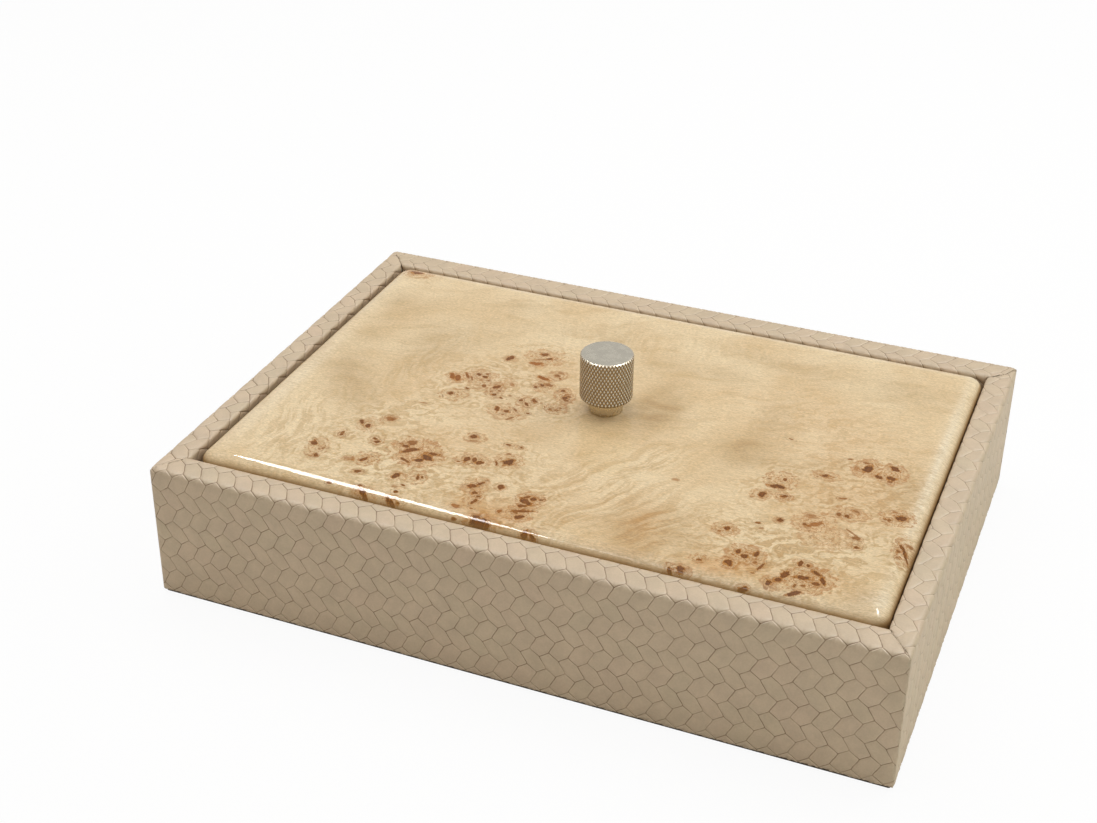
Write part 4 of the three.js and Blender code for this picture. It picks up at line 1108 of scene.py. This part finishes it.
carry_nearest(eyes, ("eye_one", "eye_two"))
carry_nearest(knots, ("knot_one", "knot_two"))
halo = np.zeros(len(sheet_place))
for x, y, long_half, short_half, turn, depth, warmth in eyes:
    spread = halo_start + halo_spread * math.sqrt(long_half * short_half)
    away_squared = (sheet_place[:, 0] - x) ** 2 + (sheet_place[:, 1] - y) ** 2
    halo += halo_depth * depth * np.exp(-away_squared / spread ** 2)
set_attribute(veneer, "halo", "FLOAT", "POINT", 1 - np.exp(-halo))
for zone_name, marks in zones.items():
    amount = np.zeros(len(sheet_place))
    for x, y, long_half, short_half, turn, strength in marks:
        along, aside = own_axes(sheet_place[:, 0] - x, sheet_place[:, 1] - y, long_half, short_half, turn)
        amount += strength * np.exp(-along ** 2 - aside ** 2)
    set_attribute(veneer, zone_name, "FLOAT", "POINT", np.minimum(amount, 1))
nearness = np.zeros(len(sheet_place))
for x, y, long_half, short_half, turn, strength, rosiness in knots:
    along, aside = own_axes(sheet_place[:, 0] - x, sheet_place[:, 1] - y, long_half, short_half, turn)
    nearness += np.exp((1 - np.hypot(along, aside)) * math.sqrt(long_half * short_half) / knot_merge)
set_attribute(veneer, "from_knots", "FLOAT", "POINT", -knot_merge * np.log(nearness))
flat_place = np.column_stack([sheet_place, np.zeros(len(sheet_place))])
set_attribute(veneer, "sheet", "FLOAT_VECTOR", "POINT", flat_place)


def stretched(tree, vector, turn, along, across):
    """Sheet coordinates turned by degrees, then scaled along and across that direction."""
    made = add_node(tree, "Mapping", {"Vector": vector, "Rotation": (0, 0, math.radians(-turn))})
    return add_node(tree, "Mapping", {"Vector": made.outputs[0], "Scale": (along, across, 1)}).outputs[0]


def moved_by(tree, vector, scale, amount, detail):
    """Sheet coordinates pushed about by soft noise, so that grain and edges wander."""
    push = add_node(tree, "TexNoise", {"Vector": vector, "Scale": scale, "Detail": detail}).outputs["Color"]
    push = add_node(tree, "VectorMath", {0: push, 1: (0.5, 0.5, 0.5)}, operation="SUBTRACT").outputs[0]
    inputs = {0: push, 1: (amount, amount, 0), 2: vector}
    return add_node(tree, "VectorMath", inputs, operation="MULTIPLY_ADD").outputs[0]


def grain_of(tree, turn, along, across, detail, roughness, source, distortion=0.0):
    """Noise that runs in one direction over the sheet, as the wood's fibres do."""
    where = stretched(tree, source, turn, along, across)
    return noise(tree, where, 1.0, detail=detail, roughness=roughness, distortion=distortion)


def streaked(tree, value, low, high):
    """Tan wood that turns pale where a value rises past the range."""
    return mix_colours(tree, ramp(tree, value, low, high), burl_tan, burl_pale)


def layered(tree, colour, tones):
    """The colour with each tone laid over it in turn, by the tone's share from 0 to 1."""
    for share, tone in tones:
        colour = mix_colours(tree, share, colour, tone)
    return colour


def mark_parts(tree, layer, wander, fray):
    """Distance from a mark's middle, 1 at its wandering edge, with its size, strength and colour."""
    local = add_node(tree, "SeparateXYZ", {0: carried(tree, layer, "Vector")}).outputs
    kind = add_node(tree, "SeparateXYZ", {0: carried(tree, layer + "_kind", "Vector")}).outputs
    squares = calc(tree, "ADD", product(tree, local[0], local[0]), product(tree, local[1], local[1]))
    edge = calc(tree, "ADD", product(tree, rough_edge, wander), product(tree, fine_edge, fray))
    out = calc(tree, "ADD", calc(tree, "SQRT", squares), edge)
    return out, local[2], kind[0], kind[1], kind[2]


def rings_at(tree, distance, rate, odds):
    """Rings round a mark: a sine of the distance, started at the mark's own odds."""
    return calc(tree, "SINE", calc(tree, "ADD", product(tree, distance, rate), product(tree, odds, 6)))


burl, tree, shader = finish("burl_veneer")
sheet = carried(tree, "sheet", "Vector")
zone = {zone_name: carried(tree, zone_name) for zone_name in ("halo", *zones)}
warped = moved_by(tree, sheet, 0.03, 22, 3)
wrinkled = moved_by(tree, sheet, 0.14, 10, 3)
cloud = noise(tree, warped, 0.03, detail=3, roughness=0.5)
drift = grain_of(tree, 20, 0.04, 0.11, 4, 0.55, warped)
fibre = grain_of(tree, 3, 0.22, 1.1, 4, 0.6, moved_by(tree, sheet, 0.05, 5, 2))
pore = grain_of(tree, 5, 0.8, 3.2, 3, 0.7, sheet)
streak = grain_of(tree, 58, 0.04, 0.24, 5, 0.68, warped)
wisp = grain_of(tree, 98, 0.07, 0.42, 4, 0.55, warped)
curl = grain_of(tree, 25, 0.15, 0.26, 3, 0.55, wrinkled, distortion=0.9)
swirl = noise(tree, wrinkled, 0.34, detail=2, roughness=0.5, distortion=1.6)
swirl_line = ramp(tree, apart(tree, swirl, 0.5), 0.006, 0.035, 1, 0)
rough_edge = calc(tree, "SUBTRACT", noise(tree, sheet, 0.5, detail=3, roughness=0.6), 0.5)
fine_edge = calc(tree, "SUBTRACT", noise(tree, sheet, 1.8, detail=3, roughness=0.65), 0.5)
near_burl = calc(tree, "MAXIMUM", product(tree, zone["rosy"], 0.6), zone["wrinkle"])
crease = ramp(tree, apart(tree, curl, 0.455), 0.0, 0.025, 1, 0)
from_knots = carried(tree, "from_knots")
sway = product(tree, noise(tree, sheet, 0.1, detail=3, roughness=0.6), 34)
swell = calc(tree, "SINE", calc(tree, "ADD", product(tree, from_knots, 1.5), sway))
swollen = mix_colours(tree, ramp(tree, swell, -0.5, 0.9), burl_pale, burl_tan)
colour = mix_colours(tree, ramp(tree, cloud, 0.35, 0.65, 0.2, 0.85), burl_pale, burl_cream)
colour = layered(tree, colour, [
    (ramp(tree, drift, 0.5, 0.75, 0, 0.4), burl_tan),
    (product(tree, zone["rosy"], ramp(tree, drift, 0.3, 0.6, 0.5, 0.95)), burl_rose),
    # Brown clouds, partly the knob's painted shadow beside it
    (product(tree, zone["smoke_and_knob_shadow"], ramp(tree, drift, 0.3, 0.62, 0.42, 0.7)), burl_smoke),
    # Clear wood, and the painted reflection along the right edge
    (product(tree, zone["pale_and_edge_shine"], 0.75), burl_pale),
    (product(tree, zone["amber"], ramp(tree, drift, 0.3, 0.6, 0.6, 1.0)), burl_amber),
    # Painted reflection along the lid's edges
    (product(tree, zone["painted_edge_shine"], ramp(tree, fibre, 0.4, 0.6, 0.35, 0.8)), burl_painted_shine),
    (product(tree, zone["blaze"], 0.62), streaked(tree, streak, 0.41, 0.57)),
    (product(tree, zone["wisp"], 0.5), streaked(tree, wisp, 0.42, 0.56)),
    (product(tree, near_burl, 0.72), streaked(tree, curl, 0.43, 0.53)),
    (product(tree, crease, near_burl, 0.5), burl_smoke),
    (product(tree, ramp(tree, from_knots, 13, 0, 0, 0.42), ramp(tree, drift, 0.42, 0.58, 0.2, 1)), swollen),
])
dots = add_node(tree, "TexVoronoi", {"Vector": wrinkled, "Scale": 0.5}).outputs
picked = add_node(tree, "SeparateColor", {0: dots["Color"]}).outputs[0]
speck = product(tree, ramp(tree, dots["Distance"], 0.12, 0.24, 1, 0), ramp(tree, picked, 0.55, 0.6))
for layer in ("knot_two", "knot_one"):
    out, size, strength, rosiness, odds = mark_parts(tree, layer, 1.1, 0.14)
    inside = product(tree, ramp(tree, out, 1.3, 0.6), strength)
    wave = rings_at(tree, product(tree, out, size), 3.4, odds)
    broken_rings = product(tree, ramp(tree, wave, 0.7, 1.0), ramp(tree, swirl, 0.4, 0.5))
    lines = calc(tree, "MAXIMUM", broken_rings, swirl_line)
    brim = product(tree, ramp(tree, apart(tree, out, 1.1), 0.03, 0.17, 1, 0), ramp(tree, swirl, 0.42, 0.52))
    colour = layered(tree, colour, [
        (product(tree, inside, 0.48), mix_colours(tree, rosiness, burl_tan, burl_rose)),
        (product(tree, ramp(tree, wave, -0.3, -0.95), inside, 0.5), burl_pale),
        (product(tree, brim, strength, 0.6), knot_brown),
        (product(tree, lines, inside, 0.9), knot_brown),
        (product(tree, speck, inside, 0.85), ring_brown),
    ])
colour = mix_colours(tree, product(tree, zone["halo"], 0.3), colour, knot_brown)
fibre_tone = ramp(tree, fibre, 0.36, 0.64, 0.925, 1.045)
colour = toned(tree, colour, product(tree, fibre_tone, ramp(tree, pore, 0.40, 0.62, 1.08, 0.84)))
for layer in ("eye_two", "eye_one"):
    out, size, strength, warmth, odds = mark_parts(tree, layer, 2.3, 0.9)
    beyond = product(tree, calc(tree, "SUBTRACT", out, 1.0), size)
    wave = rings_at(tree, beyond, 5.0, odds)
    ring = product(tree, ramp(tree, wave, 0.5, 0.98), ramp(tree, beyond, 0.3, 2.2, 0.75, 0), strength)
    redness = calc(tree, "ADD", product(tree, warmth, 0.7), product(tree, fine_edge, 2.0))
    redness = calc(tree, "ADD", redness, ramp(tree, out, 0.1, 0.6, 0.25, 0))
    core = mix_colours(tree, redness, eye_dark, eye_warm)
    colour = layered(tree, colour, [
        (ring, ring_brown),
        (product(tree, ramp(tree, out, 1.0, 1.5, 0.95, 0), strength), eye_rim),
        (product(tree, ramp(tree, out, 0.85, 1.1, 1, 0), ramp(tree, strength, 0.3, 0.8, 0.4, 1)), core),
    ])
# Painted shade: the veneer darkens towards its foot, where the lid's edge goes down into the gap round it
lid_height = add_node(tree, "SeparateXYZ", {0: place_on(tree)}).outputs[2]
foot = ramp(tree, lid_height, foot_shade_low * mm, foot_shade_high * mm, 0.8, 0)
wire(tree, mix_colours(tree, foot, colour, burl_gap_shade), shader.inputs["Base Color"])
wire(tree, ramp(tree, pore, 0.3, 0.7, 0.34, 0.44), shader.inputs["Roughness"])
relief(tree, shader, noise(tree, sheet, 0.45, detail=2), 0.5, 0.05 * mm, "Coat Normal")
shader.inputs["Coat Weight"].default_value = 1.0
shader.inputs["Coat Roughness"].default_value = 0.035
shader.inputs["Coat IOR"].default_value = 1.25
shader.inputs["Specular IOR Level"].default_value = 0.0
veneer.data.materials.append(burl)
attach(veneer, "lid")
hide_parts("lid_veneer")


# Knob
# Turned from brass and plated in satin nickel: a plain neck stands on the lid and carries a knurled
# head, whose edges are chamfered and whose flat top shows fine turning marks.
neck_radius = 6.6
neck_chamfer = 0.35
neck_foot = lid_top
neck_top = lid_top + 5.65
head_radius = 10.27
head_undercut = 1.1
knurl_starts = 46
knurl_rise = 2.42
knurl_depth = 0.42
knurl_crest = 1.25
top_flat = 9.72
chamfer = 0.5
knob_top = knob_high[2] + 0.3
bore_radius = 2.05
bore_chamfer = 0.4
bore_top = knob_top - 3.5
around_count = 368
nickel_colour = (0.660, 0.605, 0.500, 1)
# Painted shade for the knurl's valleys and the flat top, also used as the haze's dark tone
nickel_haze_and_valley_shade = (0.235, 0.170, 0.100, 1)
nickel_top_shade = (0.368, 0.340, 0.280, 1)
nickel_neck = (0.640, 0.545, 0.385, 1)
haze_scale = 260
turning_scale = 9000


def knob_solid():
    """The knob as rings round its axis: down its bore, out under the neck's foot, up the neck, out
    under the head, up the knurled side, and in over the top. On the side the surface is the lower
    of two crossing sets of helical ridges."""
    rows = [(0.01, bore_top, 0), (bore_radius, bore_top, 0), (bore_radius, neck_foot + 0.5, 0)]
    rows += [(bore_radius + bore_chamfer, neck_foot, 0), (neck_radius - neck_chamfer, neck_foot, 0)]
    rows += [(neck_radius, neck_foot + neck_chamfer, 0)]
    for height in np.linspace(neck_foot + 0.9, neck_top - 0.35, 6):
        rows.append((neck_radius, height, 0))
    under_head = head_radius - head_undercut
    rows += [(neck_radius + 0.12, neck_top - 0.1, 0), (neck_radius + 0.4, neck_top, 0)]
    rows += [(under_head, neck_top, 0)]
    for share in (0.35, 0.7, 1.0):
        rows.append((under_head + 0.75 * share, neck_top + 0.45 * share ** 1.4, share))
    for height in np.linspace(neck_top + 0.62, knob_top - chamfer, 62):
        rows.append((head_radius, height, 1))
    for share in (0.2, 0.4, 0.6, 0.8, 0.97):
        rows.append((head_radius, knob_top - chamfer * (1 - share), 1))
    for radius in (top_flat - 0.02, 9.2, 8.2, 6.0, 3.6, 1.4, 0.01):
        rows.append((radius, knob_top, 0))
    radius, height, cut = (np.array(column)[:, None] for column in zip(*rows))
    turn = np.linspace(0, 2 * math.pi, around_count, endpoint=False)[None, :]

    def tooth(phase):
        """A wave of straight flanks, from 0 up to 1 and back to 0 in each whole turn of its phase."""
        return 1 - 2 * np.abs(phase - np.floor(phase) - 0.5)

    around = turn * knurl_starts / (2 * math.pi)
    climb = (height - neck_top) / knurl_rise
    ridge = np.minimum(np.minimum(tooth(around + climb), tooth(around - climb)) * knurl_crest, 1)
    depth = np.where(cut > 0, cut * knurl_depth * (1 - ridge), 0)
    cone = top_flat + (head_radius - top_flat) * (knob_top - height) / chamfer
    cone = np.where(height > knob_top - chamfer, cone, 99)
    reach = np.minimum(np.where(height > knob_top - chamfer, head_radius, radius) - depth, cone)
    reach = np.where(cut > 0, reach, radius)
    x, y = knob_centre[0] + reach * np.cos(turn), knob_centre[1] + reach * np.sin(turn)
    points = np.stack([x, y, height + 0 * turn], -1).reshape(-1, 3)
    faces = ring_faces(len(rows), around_count) + end_faces(len(rows), around_count)
    piece = closed_piece("knurled_knob", points, faces)
    set_attribute(piece, "cut", "FLOAT", "POINT", (depth / knurl_depth + 0 * turn).ravel())
    piece.data.shade_smooth()
    return piece


knob = knob_solid()
nickel, tree, shader = finish("satin_nickel")
where = place_on(tree)
haze = noise(tree, where, haze_scale, detail=4, roughness=0.6)
axis_place = (knob_centre[0] * mm, knob_centre[1] * mm, 0)
on_axis = add_node(tree, "VectorMath", {0: where, 1: axis_place}, operation="SUBTRACT").outputs[0]
parts = add_node(tree, "SeparateXYZ", {0: on_axis}).outputs
squares = calc(tree, "ADD", product(tree, parts[0], parts[0]), product(tree, parts[1], parts[1]))
from_axis = add_node(tree, "CombineXYZ", {0: calc(tree, "SQRT", squares)}).outputs[0]
knob_height = add_node(tree, "SeparateXYZ", {0: where}).outputs[2]
at_neck = ramp(tree, knob_height, (neck_top + 0.1) * mm, (neck_top - 0.1) * mm)
on_top = ramp(tree, knob_height, (knob_top - 0.06) * mm, (knob_top - 0.01) * mm)
# Painted shade: the knurl's valleys are darkened by their depth, and the flat top is coloured darker than
# the side. The haze mottles the plating with the same dark tone, and the neck is tinted warmer than the
# head.
colour = layered(tree, nickel_colour, [
    (ramp(tree, carried(tree, "cut"), 0.12, 0.75, 0, 0.9), nickel_haze_and_valley_shade),
    (ramp(tree, haze, 0.35, 0.7, 0, 0.15), nickel_haze_and_valley_shade),
    (at_neck, nickel_neck),
    (on_top, nickel_top_shade),
])
wire(tree, colour, shader.inputs["Base Color"])
wire(tree, ramp(tree, haze, 0.3, 0.7, 0.22, 0.3), shader.inputs["Roughness"])
relief(tree, shader, noise(tree, from_axis, turning_scale, detail=2), 0.05, 0.05 * mm)
shader.inputs["Metallic"].default_value = 1
knob.data.materials.append(nickel)
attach(knob, "lid")
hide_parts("knob")


# Floor, lamps and surroundings
# A white floor in a white room. A window lamp, one overhead and one at the right light the box. Two
# long lamps at the left are mirrored along the lid's front edge, and one behind at its right corner.
floor_half = 3
floor_drop = 0.0002
paper_dark = (0.93, 0.93, 0.93, 1)
paper_light = (0.95, 0.95, 0.95, 1)
camera_white = 0.93
room_light = 0.44
room_warm = (1.0, 0.965, 0.92, 1)
white = (1, 1, 1, 1)
floor_mesh = bpy.data.meshes.new("floor")
floor_corners = [(-floor_half, -floor_half, 0), (floor_half, -floor_half, 0)]
floor_corners += [(floor_half, floor_half, 0), (-floor_half, floor_half, 0)]
floor_mesh.from_pydata(floor_corners, [], [(0, 1, 2, 3)])
floor = bpy.data.objects.new("floor", floor_mesh)
bpy.context.scene.collection.objects.link(floor)
floor.location.z = -floor_drop
paper, tree, shader = finish("floor_paper")
pulp = noise(tree, place_on(tree), 40, detail=3)
wire(tree, mix_colours(tree, pulp, paper_dark, paper_light), shader.inputs["Base Color"])
shader.inputs["Roughness"].default_value = 0.9
shader.inputs["Specular IOR Level"].default_value = 0.0
glow = add_node(tree, "Emission", {"Color": white, "Strength": 1.0}).outputs[0]
share = product(tree, add_node(tree, "LightPath").outputs["Is Camera Ray"], camera_white)
lit_paper = add_node(tree, "MixShader", {0: share, 1: shader.outputs[0], 2: glow}).outputs[0]
wire(tree, lit_paper, tree.nodes["Material Output"].inputs["Surface"])
floor_mesh.materials.append(paper)


def lamp(name, place, target, width, height, watts, colour=(1, 1, 1)):
    """A flat rectangular lamp at a place, facing a target, with both in metres."""
    light = bpy.data.lights.new(name, "AREA")
    light.shape = "RECTANGLE"
    light.size = width
    light.size_y = height
    light.energy = watts
    light.color = colour
    lit = bpy.data.objects.new(name, light)
    bpy.context.scene.collection.objects.link(lit)
    lit.location = place
    lit.rotation_euler = (Vector(target) - Vector(place)).to_track_quat("-Z", "Y").to_euler()
    return lit


def glint(name, place, target, width, height, watts, turn):
    """A long oval lamp that only shows in reflections, turned by degrees about its own axis."""
    lit = lamp(name, place, target, width, height, watts)
    facing = (Vector(target) - Vector(place)).to_track_quat("-Z", "Y")
    lit.rotation_euler = (facing @ Quaternion((0, 0, 1), math.radians(turn))).to_euler()
    lit.data.shape = "ELLIPSE"
    lit.visible_diffuse = False


lamp("window", (0.80, 0.62, 1.05), (0, 0, 0), 1.0, 0.8, 5.0)
lamp("overhead", (-0.25, 0.15, 1.1), (0, 0, 0), 1.0, 1.0, 6.0)
lamp("right_side", (1.4, -0.1, 0.45), (0, 0, 0.03), 0.7, 0.6, 2.1, (0.74, 1.0, 0.94))
glint("edge_strip", (-0.358, 0.072, 0.7), (-0.358, 0.072, 0), 0.66, 0.09, 7.5, -61)
glint("edge_strip_faint", (-0.09, -0.41, 0.7), (-0.09, -0.41, 0), 0.6, 0.05, 0.7, -61)
glint("corner_glint", (0.41, 0.33, 1.04), (0.125, -0.084, 0.056), 0.95, 0.1, 26.0, -34)

world = bpy.data.worlds.new("surroundings")
bpy.context.scene.world = world
world.use_nodes = True
tree = world.node_tree
sky = tree.nodes["Background"]
rays = add_node(tree, "LightPath").outputs
seen = calc(tree, "MAXIMUM", rays["Is Camera Ray"], rays["Is Glossy Ray"])
seen = calc(tree, "MAXIMUM", seen, rays["Is Transmission Ray"])
strength = calc(tree, "ADD", product(tree, seen, 1 - room_light), room_light)
wire(tree, mix_colours(tree, seen, room_warm, white), sky.inputs["Color"])
wire(tree, strength, sky.inputs["Strength"])
bpy.context.scene.view_settings.view_transform = "Standard"
